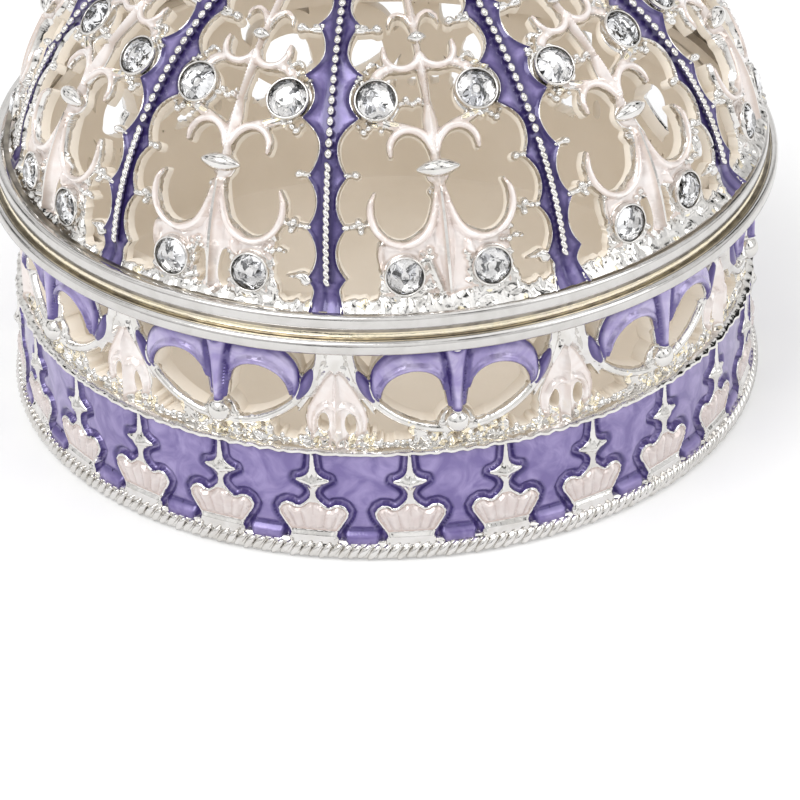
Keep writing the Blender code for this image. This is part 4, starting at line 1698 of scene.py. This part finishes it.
@dataclass
class Stones:
    """Forty cut stones, each in a silver cup with a faceted mirror behind it.

    Attributes:
        dome: the surface that they are set on.
        rows: where they stand in each panel.
        girdle: height of their widest edge over the dome.
        shades: how often a mirror's facet has each of its shades, which paint its reflections.
    """

    dome: Dome
    rows: tuple[StoneRow, ...] = (StoneRow("low", 1.32, 3.15, 3.8), StoneRow("mid", 1.42, 3.63, 16.6))
    girdle: float = 0.62
    shades: tuple[float, ...] = (0.4, 0.23, 0.2, 0.17)

    def cut(self, radius: float) -> Mesh:
        """Cut one stone: a table, stars, kites and girdle facets over a shallow back.

        Args:
            radius: its radius.

        Returns:
            The stone.
        """
        shape = bmesh.new()
        table, star = facets(shape, radius, 8, 0.5, 0.38, 0.0), facets(shape, radius, 8, 0.8, 0.22, 0.5)
        upper, lower = facets(shape, radius, 16, 1.0, 0.03, 0.0), facets(shape, radius, 16, 1.0, -0.03, 0.0)
        culet = shape.verts.new((0, 0, -0.16 * radius * MM))
        shape.faces.new(table)
        for k in range(8):
            n = (k + 1) % 8
            a, b, c = 2 * k, 2 * k + 1, (2 * k + 2) % 16
            shape.faces.new((table[n], table[k], star[k]))
            shape.faces.new((star[k], upper[a], upper[b]))
            shape.faces.new((star[k], upper[b], upper[c]))
            shape.faces.new((table[n], star[k], upper[c], star[n]))
        for k in range(16):
            n = (k + 1) % 16
            shape.faces.new((upper[k], lower[k], lower[n], upper[n]))
            shape.faces.new((lower[k], culet, lower[n]))
        bmesh.ops.recalc_face_normals(shape, faces=shape.faces)
        return frozen(shape, "stone")

    def mirror(self, radius: float, draw: np.random.Generator) -> Mesh:
        """Cut the mirror below one stone: rays of bright and dark facets, painted reflections, round a small
        star.

        Args:
            radius: the stone's radius.
            draw: chooses each facet's tilt and shade.

        Returns:
            The mirror, with a slot for each shade.
        """
        shape = bmesh.new()
        outer = facets(shape, radius, 16, 0.99, -0.08, 0.0, 0.0, draw)
        middle = facets(shape, radius, 16, 0.62, -0.36, 0.5, 0.1, draw)
        inner = facets(shape, radius, 8, 0.28, -0.24, 0.5, 0.1, draw)
        tip = shape.verts.new((0, 0, -0.5 * radius * MM))
        faces = []
        for k in range(16):
            n = (k + 1) % 16
            faces.append(shape.faces.new((outer[k], middle[k], outer[n])))
            faces.append(shape.faces.new((outer[n], middle[k], middle[n])))
        for k in range(8):
            n = (k + 1) % 8
            a, b, c = 2 * k, 2 * k + 1, (2 * k + 2) % 16
            faces.append(shape.faces.new((middle[a], inner[k], middle[b])))
            faces.append(shape.faces.new((middle[b], inner[k], inner[n], middle[c])))
            faces.append(shape.faces.new((inner[k], tip, inner[n])))
        for face in faces:
            # Painted reflection: each facet gets one of the bright, grey, dim and dark shades at random.
            face.material_index = int(draw.choice(len(self.shades), p=self.shades))
        bmesh.ops.triangulate(shape, faces=shape.faces)
        shape.normal_update()
        for face in shape.faces:
            if face.normal.z < 0:
                face.normal_flip()
        return frozen(shape, "mirror")

    def cup(self, radius: float) -> Mesh:
        """Turn one cup: a thin rounded silver rim on a closed seat, with painted shadow on its inner wall.

        Args:
            radius: the stone's radius.

        Returns:
            The cup.
        """
        rim = [(0.06, -0.75), (0.17, -0.55), (0.2, -0.1), (0.18, 0.1), (0.11, 0.18), (0.03, 0.15),
               (0.01, 0.02), (0.01, -0.2)]
        mesh = turned([(0.0, -0.95), (radius * 0.6, -0.95), *[(radius + out, z) for out, z in rim],
                       (radius * 0.6, -0.5 * radius), (0.0, -0.56 * radius)], 32, 50.0)
        # Painted shadow: the inner wall under the rim takes the cup's dark second finish.
        for face in mesh.polygons:
            inner = math.hypot(face.center.x, face.center.y) < (radius + 0.022) * MM
            face.material_index = int(inner and face.center.z > -0.9 * MM)
        return mesh

    def build(self, finishes: Finishes) -> None:
        """Set every stone over its own solid, and make the cups and mirrors.

        Args:
            finishes: the box's finishes.
        """
        cups, mirrors = [], []
        for row in self.rows:
            places = []
            stone = self.cut(row.radius)
            for bay, angle in enumerate(around(BAYS, LID_START)):
                for hand, side in (("left", -1), ("right", 1)):
                    spot = self.dome.upright(side * row.offset, row.arc, self.girdle, angle)
                    places.append(spot)
                    turn = spot @ Matrix.Rotation(0.37 * (bay * 2 + side), 4, "Z")
                    own = stone.copy()
                    own.transform(turn)
                    node = f"stone_{row.name}_{hand}_{bay + 1:02d}"
                    piece = put(f"cut_{node}", own, [finishes.glass], self.dome.seat)
                    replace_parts(piece, node)
                    seed = 100 * len(cups) + 2 * bay + (side > 0)
                    mirror = self.mirror(row.radius, np.random.default_rng(seed))
                    mirror.transform(turn)
                    mirrors.append(mirror)
            cups.append(repeated(self.cup(row.radius), places))
            bpy.data.meshes.remove(stone)
        put("lid_stone_cups", joined(cups), [finishes.silver, finishes.shadow_silver], self.dome.seat)
        put("lid_stone_mirrors", joined(mirrors), finishes.foils, self.dome.seat)


@dataclass
class Crown:
    """What holds the lid together: its rim, its collar, and the orb and cross."""

    dome: Dome

    def build(self, finishes: Finishes) -> None:
        """Make the rim, collar, orb and cross.

        Args:
            finishes: the box's finishes.
        """
        rim = [(27.3, 20.4), (29.8, 20.4), (29.98, 20.46), (30.03, 20.62), (30.03, 21.15), (29.98, 21.33),
               (29.85, 21.44), (29.6, 21.48), (29.3, 21.42), (29.1, 21.2), (28.2, 20.9), (27.3, 20.8)]
        put("lid_rim", lined(turned(rim, 240), 28.4), [finishes.rim_silver, finishes.lining])
        # Painted shadow: a dark ring in the joint between the panels and the rim.
        shadow = [(28.8, 21.0), (29.14, 21.15), (29.2, 21.33), (29.12, 21.39), (28.8, 21.36)]
        put("lid_rim_shadow", turned(shadow, 240), [finishes.shadow_silver])
        apex = SEAM + self.dome.height
        collar = [(0.0, -1.2), (3.0, -1.25), (6.6, -1.7), (6.9, -0.9), (6.7, -0.25), (6.1, -0.1),
                  (5.6, -0.35), (4.2, -0.1), (3.4, 0.3), (2.6, 0.5), (1.5, 0.6), (1.2, 0.95), (1.5, 1.25),
                  (1.0, 1.5), (0.0, 1.5)]
        seat = self.dome.seat
        put("lid_collar", turned([(out, apex + z) for out, z in collar], 96), [finishes.silver], seat)
        put("lid_orb", self.orb(apex + 3.1), [finishes.purple, finishes.silver], seat)
        put("lid_cross", self.cross(apex + 4.9), [finishes.silver], seat)

    def orb(self, middle: float) -> Mesh:
        """An enamelled orb with a silver band.

        Args:
            middle: height of its middle.

        Returns:
            The orb.
        """
        deselect()
        place = (0, 0, middle * MM)
        bpy.ops.mesh.primitive_uv_sphere_add(segments=40, ring_count=24, radius=2.2 * MM, location=place)
        bpy.ops.object.shade_smooth()
        mesh = taken(bpy.context.object)
        profile = [(2.1, -0.22), (2.32, -0.2), (2.36, 0.0), (2.32, 0.2), (2.1, 0.22)]
        band = turned([(out, middle + z) for out, z in profile], 48)
        for face in band.polygons:
            face.material_index = 1
        return joined([mesh, band])

    def cross(self, foot: float) -> Mesh:
        """A cross with flared arms, bevelled all round.

        Args:
            foot: height of its foot.

        Returns:
            The cross.
        """
        reach, root, flare = 2.4, 0.42, 0.98
        deselect()
        bpy.ops.mesh.primitive_circle_add(vertices=12, radius=MM, fill_type="NGON")
        piece = bpy.context.object
        arm = [(root, root), (flare, reach), (-flare, reach)]
        corners = [Matrix.Rotation(quarter * math.pi / 2, 2) @ Vector(p) for quarter in range(4) for p in arm]
        for corner, place in zip(piece.data.vertices, corners):
            corner.co = (place.x * MM, -0.5 * MM, (foot + reach + place.y) * MM)
        bpy.ops.object.mode_set(mode="EDIT")
        bpy.ops.mesh.select_all(action="SELECT")
        bpy.ops.mesh.extrude_region_move(TRANSFORM_OT_translate={"value": (0, 1.0 * MM, 0)})
        bpy.ops.mesh.select_all(action="SELECT")
        bpy.ops.mesh.normals_make_consistent(inside=False)
        bpy.ops.mesh.bevel(offset=0.16 * MM, segments=3)
        bpy.ops.object.mode_set(mode="OBJECT")
        bpy.ops.object.shade_smooth_by_angle(angle=math.radians(40))
        return taken(piece)


# --- base


@dataclass
class Gallery:
    """The openwork wall: ten purple fleurs hanging in silver festoons, with pink spandrels between.

    Attributes:
        wall: the surface that it bends on to.
        low, high: heights where it starts and ends.
    """

    wall: Barrel = Barrel(27.9, 28.75)
    low: float = 8.9
    high: float = 18.85

    def spandrel(self, relief: Relief, half: float) -> None:
        """The silver Y between two festoons and the small pink fleur that stands below it.

        Args:
            relief: the field.
            half: half the bay's width.
        """
        ground = [(0.0, 16.0), (0.9, 15.0), (1.6, 13.8), (2.25, 12.5), (2.45, 11.6), (2.35, 10.8), (2.3, 9.9),
                  (2.4, 9.0), (0.0, 9.0)]
        relief.patch([(half + 0.6, 16.0), *[(half - x, y) for x, y in ground], (half + 0.6, 9.0)], 0.1, 0.12,
                     finish=Finish.PINK, rim=0.1, both=True)
        relief.pierce((half - 1.05, 11.15), (0.46, 0.92))
        for middle in (-half, half):
            relief.stroke([(middle, 18.9, 0.52), (middle, 18.1, 0.56), (middle, 17.3, 0.78),
                           (middle, 16.5, 0.85), (middle, 15.9, 0.4),
                           (middle, 15.5, 0.12)], 0.6, both=False)
            for way in (-1, 1):
                fork = [(0.5, 16.2, 0.32), (1.0, 15.2, 0.22), (2.05, 13.5, 0.16), (2.9, 12.2, 0.14)]
                relief.stroke([(middle + way * x, y, r) for x, y, r in fork], 0.62, both=False)
                arm = [(0.1, 12.55, 0.24), (0.65, 12.75, 0.27), (1.25, 12.45, 0.26), (1.66, 11.7, 0.23),
                       (1.76, 10.8, 0.2), (1.6, 10.0, 0.2)]
                relief.petal([(middle + way * x, y, r) for x, y, r in arm], 0.55, 0.1, both=False)
            relief.leaf([(15.3, 0.1), (14.3, 0.26), (13.2, 0.34), (12.2, 0.34), (11.0, 0.4), (9.9, 0.52),
                         (9.0, 0.6)], 0.8, 0.1, middle)

    def relief(self) -> Relief:
        """Lay one bay out flat.

        Returns:
            The field.
        """
        half = math.pi / BAYS * self.wall.layout
        relief = Relief(-half, half, self.low, self.high, 1.15)
        relief.patch([(-9.5, 8.5), (9.5, 8.5), (9.5, 9.6), (-9.5, 9.6)], 0.12, 0.2)
        relief.patch([(-9.5, 18.35), (9.5, 18.35), (9.5, 19.3), (-9.5, 19.3)], 0.1, 0.2)
        self.spandrel(relief, half)
        turns = np.linspace(0.07, -math.pi / 2, 12)
        festoon = [(7.9 * math.cos(turn), 17.7 + 7.1 * math.sin(turn), 0.42) for turn in turns]
        relief.stroke([(7.95, 18.6, 0.36), *festoon], 0.6)
        relief.scatter((
            ((-3.9, 9.4, 3.9, 10.75), 90, (0.13, 0.34), 41, 0.15, 0.45),
            ((-9.0, 9.2, 9.0, 9.75), 150, (0.1, 0.25), 42, 0.1, 0.4),
            ((-8.3, 9.3, -6.2, 10.5), 26, (0.12, 0.27), 43, 0.1, 0.7),
            ((6.2, 9.3, 8.3, 10.5), 26, (0.12, 0.27), 44, 0.1, 0.7),
            ((2.2, 10.6, 3.9, 11.6), 12, (0.1, 0.22), 45, 0.3, 0.3),
            ((-3.9, 10.6, -2.2, 11.6), 12, (0.1, 0.22), 46, 0.3, 0.3)))
        self.fleur(relief)
        relief.seamless(relief.solid, relief.lift, *relief.tints.values())
        return relief

    def fleur(self, relief: Relief) -> None:
        """The hanging purple fleur-de-lis: two rolled petals with a leaf behind each, and a wedge.

        Args:
            relief: the field.
        """
        # The leaves keep the darker purple, painted as the shaded undersides of the curled petals.
        relief.stroke([(7.3, 15.9, 0.22), (7.02, 15.2, 0.46), (6.62, 14.3, 0.5), (6.22, 13.5, 0.22)],
                      0.9, 0.1, Finish.PURPLE, 0.05)
        petal = [(0.5, 12.9, 0.28), (0.66, 14.2, 0.34), (0.95, 15.5, 0.5), (1.45, 16.6, 0.86),
                 (2.4, 17.05, 1.08), (3.6, 17.0, 1.12), (4.8, 16.55, 0.98), (5.65, 15.85, 0.74),
                 (6.02, 14.9, 0.46), (5.98, 14.0, 0.28), (5.8, 13.4, 0.14)]
        relief.stroke(petal, 0.95, 0.1, Finish.LILAC, 0.08)
        lip = [(0.92, 14.3, 0.14), (1.15, 15.3, 0.24), (1.75, 16.0, 0.34), (2.6, 16.36, 0.4),
               (3.6, 16.36, 0.42), (4.6, 15.98, 0.38), (5.3, 15.35, 0.32), (5.66, 14.6, 0.26),
               (5.72, 13.9, 0.16)]
        relief.stroke(lip, 1.25, 0.6, Finish.LILAC, 0.0, blend=0.1)
        wedge = [(0.0, y, half) for y, half in
                 ((18.5, 1.1), (17.4, 0.98), (15.8, 0.74), (14.2, 0.56), (12.5, 0.48))]
        relief.stroke(wedge, 1.3, 0.25, Finish.LILAC, 0.06, both=False, blend=0.08)
        relief.stroke([(0.0, 18.65, 0.62), (0.0, 18.2, 0.5)], 0.9, both=False)
        relief.stroke([(-1.2, 11.3, 0.3), (0.0, 11.5, 1.05), (1.2, 11.3, 0.3)], 0.75, both=False, blend=0.2)
        for enamel in (Finish.PURPLE, Finish.LILAC):
            relief.tints[enamel][:] = np.where(relief.y > 18.3, -FAR, relief.tints[enamel])
        groove = np.abs(relief.x) - (0.5 + 0.115 * np.maximum(relief.y - 12.5, 0.0))
        lit_lilac = relief.tints[Finish.LILAC]
        # Painted shade: the lilac enamel darkens along the grooves beside the wedge.
        groove_shade = (np.abs(groove) < 0.3) & (relief.y > 12.7)
        lit_lilac[:] = np.where(groove_shade & (lit_lilac > 0.03), np.minimum(lit_lilac, 0.03 + 0.9 * np.abs(groove)), lit_lilac)
        # Painted shade: the petals' enamel darkens towards their tops, under the rim.
        upper = (np.abs(relief.x) > 1.0) & (lit_lilac > 0.05)
        lit_lilac[:] = np.where(upper, np.minimum(lit_lilac, 0.05 + 0.4 * np.maximum(17.7 - relief.y, 0.0)), lit_lilac)

    def build(self, finishes: Finishes) -> None:
        """Make the gallery and its balls.

        Args:
            finishes: the box's finishes.
        """
        casting = finishes.casting(finishes.purple, finishes.pink)
        mesh = relief_mesh(self.relief(), self.wall.bend, around(BAYS, BASE_START), casting)
        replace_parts(put("base_gallery", mesh, casting), "base")
        unit = ball(0.98, 3)
        places = []
        for angle in around(BAYS, BASE_START):
            spot = Vector((0.0, -(self.wall.radius + 0.55) * MM, 11.5 * MM))
            places.append(Matrix.Rotation(angle, 4, "Z") @ Matrix.Translation(spot))
        put("base_gallery_balls", repeated(unit, places), [finishes.silver])


@dataclass
class Frieze:
    """Twenty-five raised motifs on purple ground: a star on a neck over a fluted fan.

    Attributes:
        wall: the surface that they stand on.
        low, high: heights where the ground starts and ends.
        outline: the right half of a motif's outline, from its top.
    """

    wall: Barrel = Barrel(28.5, 28.8)
    low: float = 1.2
    high: float = 9.1
    outline: tuple[Point, ...] = (
        (0.0, 9.35), (0.13, 9.3), (0.18, 8.4), (0.27, 7.55), (0.48, 7.16), (0.82, 6.93), (1.27, 6.8),
        (1.31, 6.62), (0.95, 6.38), (0.52, 6.1), (0.3, 5.75), (0.25, 5.42), (0.3, 5.12), (0.62, 4.74),
        (1.02, 4.42), (1.27, 4.38), (1.58, 4.6), (2.05, 4.66), (2.46, 4.42), (2.72, 3.95), (2.58, 3.45),
        (2.22, 2.85), (1.9, 2.35), (1.74, 2.0), (1.95, 1.7), (1.98, 1.0))

    def relief(self) -> Relief:
        """Lay one motif out flat on its ground.

        Returns:
            The field.
        """
        half = math.pi / MOTIFS * self.wall.layout
        relief = Relief(-half, half, self.low, self.high, 0.7, pitch=0.05, fine=0.15, coarse=0.36,
                        rings=(0.11, 0.26, 0.44))
        relief.fill(Finish.PURPLE)
        x, y = relief.x, relief.y
        corners = np.array([*self.outline, *[(-x, y) for x, y in self.outline[:0:-1]]])
        inside = polygon_distance(x, y, corners)
        outside = np.maximum(-inside, 0.0)
        pillow = 0.31 * ease((outside - 0.26) / 0.34) * ease((9.2 - y) / 0.4)
        lip = 0.3 * ease((2.25 - y) / 0.5) * ease((outside - 0.15) / 0.3)
        lip = lip - 0.16 * np.exp(-((y - 2.35) / 0.28) ** 2) * ease(outside / 0.3)
        body = 0.5 * ease((inside + 0.1) / 0.16) - 0.1 * ease((inside - 0.12) / 0.3)
        flutes = np.abs(np.sin(math.pi * x / (0.62 + 0.17 * (y - 2.0))))
        fan = ease((4.9 - y) / 0.5) * ease((y - 2.3) / 0.4) * ease((inside - 0.26) / 0.3)
        body = body + fan * (0.24 * flutes + 0.25 * ease((y - 2.4) / 2.2))
        star = ease((inside - 0.03) / 0.7) * ease((y - 5.2) / 0.4)
        plinth = 0.22 * ease((2.2 - y) / 0.25) * ease((inside - 0.02) / 0.2)
        relief.lift = np.where(inside > -0.1, body + 0.55 * star + plinth, 0.0)
        relief.lift = relief.lift + np.where(inside < 0, pillow + lip, 0.0)
        purple, pink = relief.tints[Finish.PURPLE], relief.tints[Finish.PINK]
        # Pooled colour and painted shade: the purple's depth stays small along the motif's edge, along the
        # step where the ground rises and along the groove under the lip, so the enamel darkens there.
        pool_and_shade = np.minimum(8.0 * (0.02 - inside), 0.07 + 1.6 * np.abs(inside + 0.42))
        purple[:] = np.where(inside < 0.05, np.minimum(pool_and_shade, 0.06 + 1.2 * np.abs(y - 2.35)), -FAR)
        pink[:] = np.minimum(np.minimum(inside - 0.17, 4.75 - y), y - 2.3)
        # Painted shade: the pink darkens in the valleys between the fan's flutes.
        pink[:] = np.where(pink > 0, np.minimum(pink, 0.08 + 0.35 * flutes), pink)
        relief.seamless(relief.lift, purple, pink)
        return relief

    def build(self, finishes: Finishes) -> None:
        """Make the frieze.

        Args:
            finishes: the box's finishes.
        """
        casting = finishes.casting(finishes.purple, finishes.blush)
        mesh = relief_mesh(self.relief(), self.wall.bend, around(MOTIFS, MOTIF_START), casting, 60.0)
        put("base_frieze", mesh, casting)


@dataclass
class Rings:
    """The base's rims, its rope foot and the bowl inside.

    Attributes:
        strands: how many the rope has.
    """

    strands: int = 250

    def build(self, finishes: Finishes) -> None:
        """Make the rim, rail, foot, rope and bowl.

        Args:
            finishes: the box's finishes.
        """
        rings = (
            ("base_rim", 240, (finishes.rim_silver, finishes.lining), [
                (27.2, 18.55), (30.2, 18.55), (30.55, 18.64), (30.72, 18.85), (30.75, 19.3), (30.7, 19.56),
                (30.52, 19.71), (30.3, 19.74), (30.16, 19.66), (30.12, 19.4), (29.7, 19.4), (27.0, 19.9),
                (26.9, 20.05), (26.9, 21.0), (26.75, 21.1), (26.15, 21.1), (26.0, 21.0), (26.0, 18.55)]),
            # Painted shadow: a dark ring in the gap under the base rim.
            ("base_rim_gap", 240, (finishes.shadow_silver,), [
                (29.2, 19.38), (30.11, 19.38), (30.11, 19.6), (29.2, 19.6)]),
            ("base_seam", 240, (finishes.gold,), [
                (28.6, 19.5), (29.84, 19.5), (29.93, 19.62), (29.97, 19.8), (29.95, 20.02), (29.88, 20.16),
                (29.7, 20.22), (28.6, 20.22)]),
            # Painted shadow: a dark ring between the gold seam and the lid rim.
            ("base_seam_shadow", 240, (finishes.shadow_silver,), [
                (28.4, 20.15), (29.86, 20.15), (29.86, 20.38), (28.4, 20.38)]),
            ("base_rail", 600, (finishes.silver,), [
                (27.6, 8.85), (28.5, 8.85), (28.9, 8.9), (29.04, 9.04), (29.0, 9.22), (28.75, 9.36),
                (28.3, 9.42), (27.6, 9.42)]),
            ("base_foot", 200, (finishes.silver,), [
                (28.0, 0.0), (28.9, 0.0), (29.15, 0.14), (29.22, 0.5), (29.2, 0.95), (29.05, 1.3),
                (28.8, 1.5), (28.0, 1.6)]),
            ("base_bowl", 160, (finishes.lining,), [
                (0.0, 1.5), (26.2, 1.5), (26.6, 1.75), (26.8, 2.4), (26.8, 9.2), (27.75, 9.2), (27.75, 0.3),
                (28.2, 0.02), (0.0, 0.02)]),
        )
        for name, steps, materials, profile in rings:
            mesh = turned(profile, steps)
            if name == "base_rim":
                lined(mesh, 27.6)
            elif name == "base_rail":
                self.lumpy(mesh)
            put(name, mesh, materials)
        put("base_rope", self.rope(), [finishes.silver])

    @staticmethod
    def lumpy(mesh: Mesh) -> Mesh:
        """Make a ring's face uneven, as cast.

        Args:
            mesh: the ring.

        Returns:
            The same mesh.
        """
        for corner in mesh.vertices:
            angle = math.atan2(corner.co.y, corner.co.x)
            wave = (math.sin(97 * angle + 3.1 * math.sin(23 * angle))
                    + 0.6 * math.sin(191 * angle + 2.0 * math.sin(41 * angle)))
            share = max(math.hypot(corner.co.x, corner.co.y) / MM - 28.0, 0.0)
            scale = 1.0 + 0.0022 * share * wave
            rise = 0.05 * MM * share * math.sin(151 * angle)
            corner.co = (corner.co.x * scale, corner.co.y * scale, corner.co.z + rise)
        return mesh

    def rope(self) -> Mesh:
        """Short leaning strands all round the foot.

        Returns:
            The rope.
        """
        deselect()
        bpy.ops.mesh.primitive_uv_sphere_add(segments=8, ring_count=6, radius=MM)
        bpy.ops.object.shade_smooth()
        unit = taken(bpy.context.object)
        shape = Matrix.Diagonal((0.31, 0.42, 0.86, 1.0))
        places = []
        for number, angle in enumerate(around(self.strands, 0.0)):
            sway = math.sin(number * 2.39) * 0.05
            spot = Matrix.Translation((0.0, -29.16 * MM, (0.74 + sway) * MM))
            lean = Matrix.Rotation(math.radians(38 + 60 * sway), 4, "Y") @ shape
            back = Matrix.Rotation(math.radians(8), 4, "X")
            places.append(Matrix.Rotation(angle, 4, "Z") @ spot @ back @ lean)
        return repeated(unit, places)


# --- studio


@dataclass
class Studio:
    """Floor, lights and camera.

    Attributes:
        lens: the camera's focal length, in millimetres.
        place: where the camera is, in metres.
        right, up, ahead: its own directions.
    """

    lens: float = 204.66
    place: Place = (0.00657, -0.3109, 0.18866)
    right: Place = (0.9997621, 0.0048703, -0.0212614)
    up: Place = (0.0155022, 0.5270633, 0.8496846)
    ahead: Place = (-0.0153443, 0.8498121, -0.5268624)

    def camera(self) -> None:
        """Set the camera."""
        data = bpy.data.cameras.new("camera")
        data.lens = self.lens
        data.sensor_width = 36.0
        data.clip_start = 0.01
        camera = bpy.data.objects.new("camera", data)
        turn = Matrix((self.right, self.up, [-value for value in self.ahead])).transposed().to_4x4()
        camera.matrix_world = Matrix.Translation(self.place) @ turn
        bpy.context.scene.collection.objects.link(camera)
        bpy.context.scene.camera = camera

    def floor(self) -> None:
        """Lay the pale floor."""
        deselect()
        bpy.ops.mesh.primitive_plane_add(size=6.0)
        floor = bpy.context.object
        floor.name = "floor"
        graph = Graph("pale_floor")
        graph.set(Base_Color=(0.74, 0.74, 0.74, 1.0), Roughness=0.9)
        graph.set(Emission_Color=(1.0, 1.0, 1.0, 1.0), Emission_Strength=0.22)
        floor.data.materials.append(graph.material)

    def light(self, name: str, place: Place, size: Point, power: float) -> None:
        """Add a soft light that faces the box.

        Args:
            name: its name.
            place: where it stands, in metres.
            size: its width and height.
            power: its power, in watts.
        """
        data = bpy.data.lights.new(name, "AREA")
        data.shape = "RECTANGLE"
        data.size, data.size_y = size
        data.energy = power
        lamp = bpy.data.objects.new(name, data)
        aim = Vector((0.0, 0.0, 0.02)) - Vector(place)
        lamp.matrix_world = Matrix.Translation(place) @ aim.to_track_quat("-Z", "Y").to_matrix().to_4x4()
        bpy.context.scene.collection.objects.link(lamp)

    def surroundings(self) -> None:
        """A white studio with a few dark gaps, which the silver mirrors."""
        world = bpy.data.worlds.new("studio")
        bpy.context.scene.world = world
        world.use_nodes = True
        nodes = Nodes(world.node_tree)
        across = nodes.node("ShaderNodeTexCoord").outputs["Generated"]
        gaps = nodes.node("ShaderNodeTexNoise", Scale=2.6, Detail=1.0)
        nodes.link(across, gaps.inputs["Vector"])
        shade = nodes.ramp(gaps.outputs["Fac"],
                           [(0.385, (0.01,) * 3), (0.4, (0.66,) * 3), (0.6, (1.0,) * 3)])
        parts = nodes.node("ShaderNodeSeparateXYZ")
        nodes.link(across, parts.inputs[0])
        rise = nodes.node("ShaderNodeMapRange", From_Max=0.9, To_Min=0.8, To_Max=1.4)
        nodes.link(parts.outputs["Z"], rise.inputs["Value"])
        background = nodes.tree.nodes["Background"]
        nodes.link(rise.outputs["Result"], background.inputs["Strength"])
        nodes.link(shade, background.inputs["Color"])

    def build(self) -> None:
        """Set the whole studio."""
        self.camera()
        self.floor()
        self.light("key", (-0.25, -0.3, 0.55), (0.35, 0.35), 1.6)
        self.light("fill", (0.45, -0.2, 0.35), (0.3, 0.4), 0.5)
        self.surroundings()
        bpy.context.scene.view_settings.view_transform = "Standard"


def main() -> None:
    """Build the looks of the whole box."""
    Studio().build()
    finishes = Finishes()
    dome = Dome()
    Rings().build(finishes)
    Frieze().build(finishes)
    Gallery().build(finishes)
    Crown(dome).build(finishes)
    Ribs(dome).build(finishes)
    Panels(dome).build(finishes)
    Stones(dome).build(finishes)


if __name__ == "__main__":
    main()
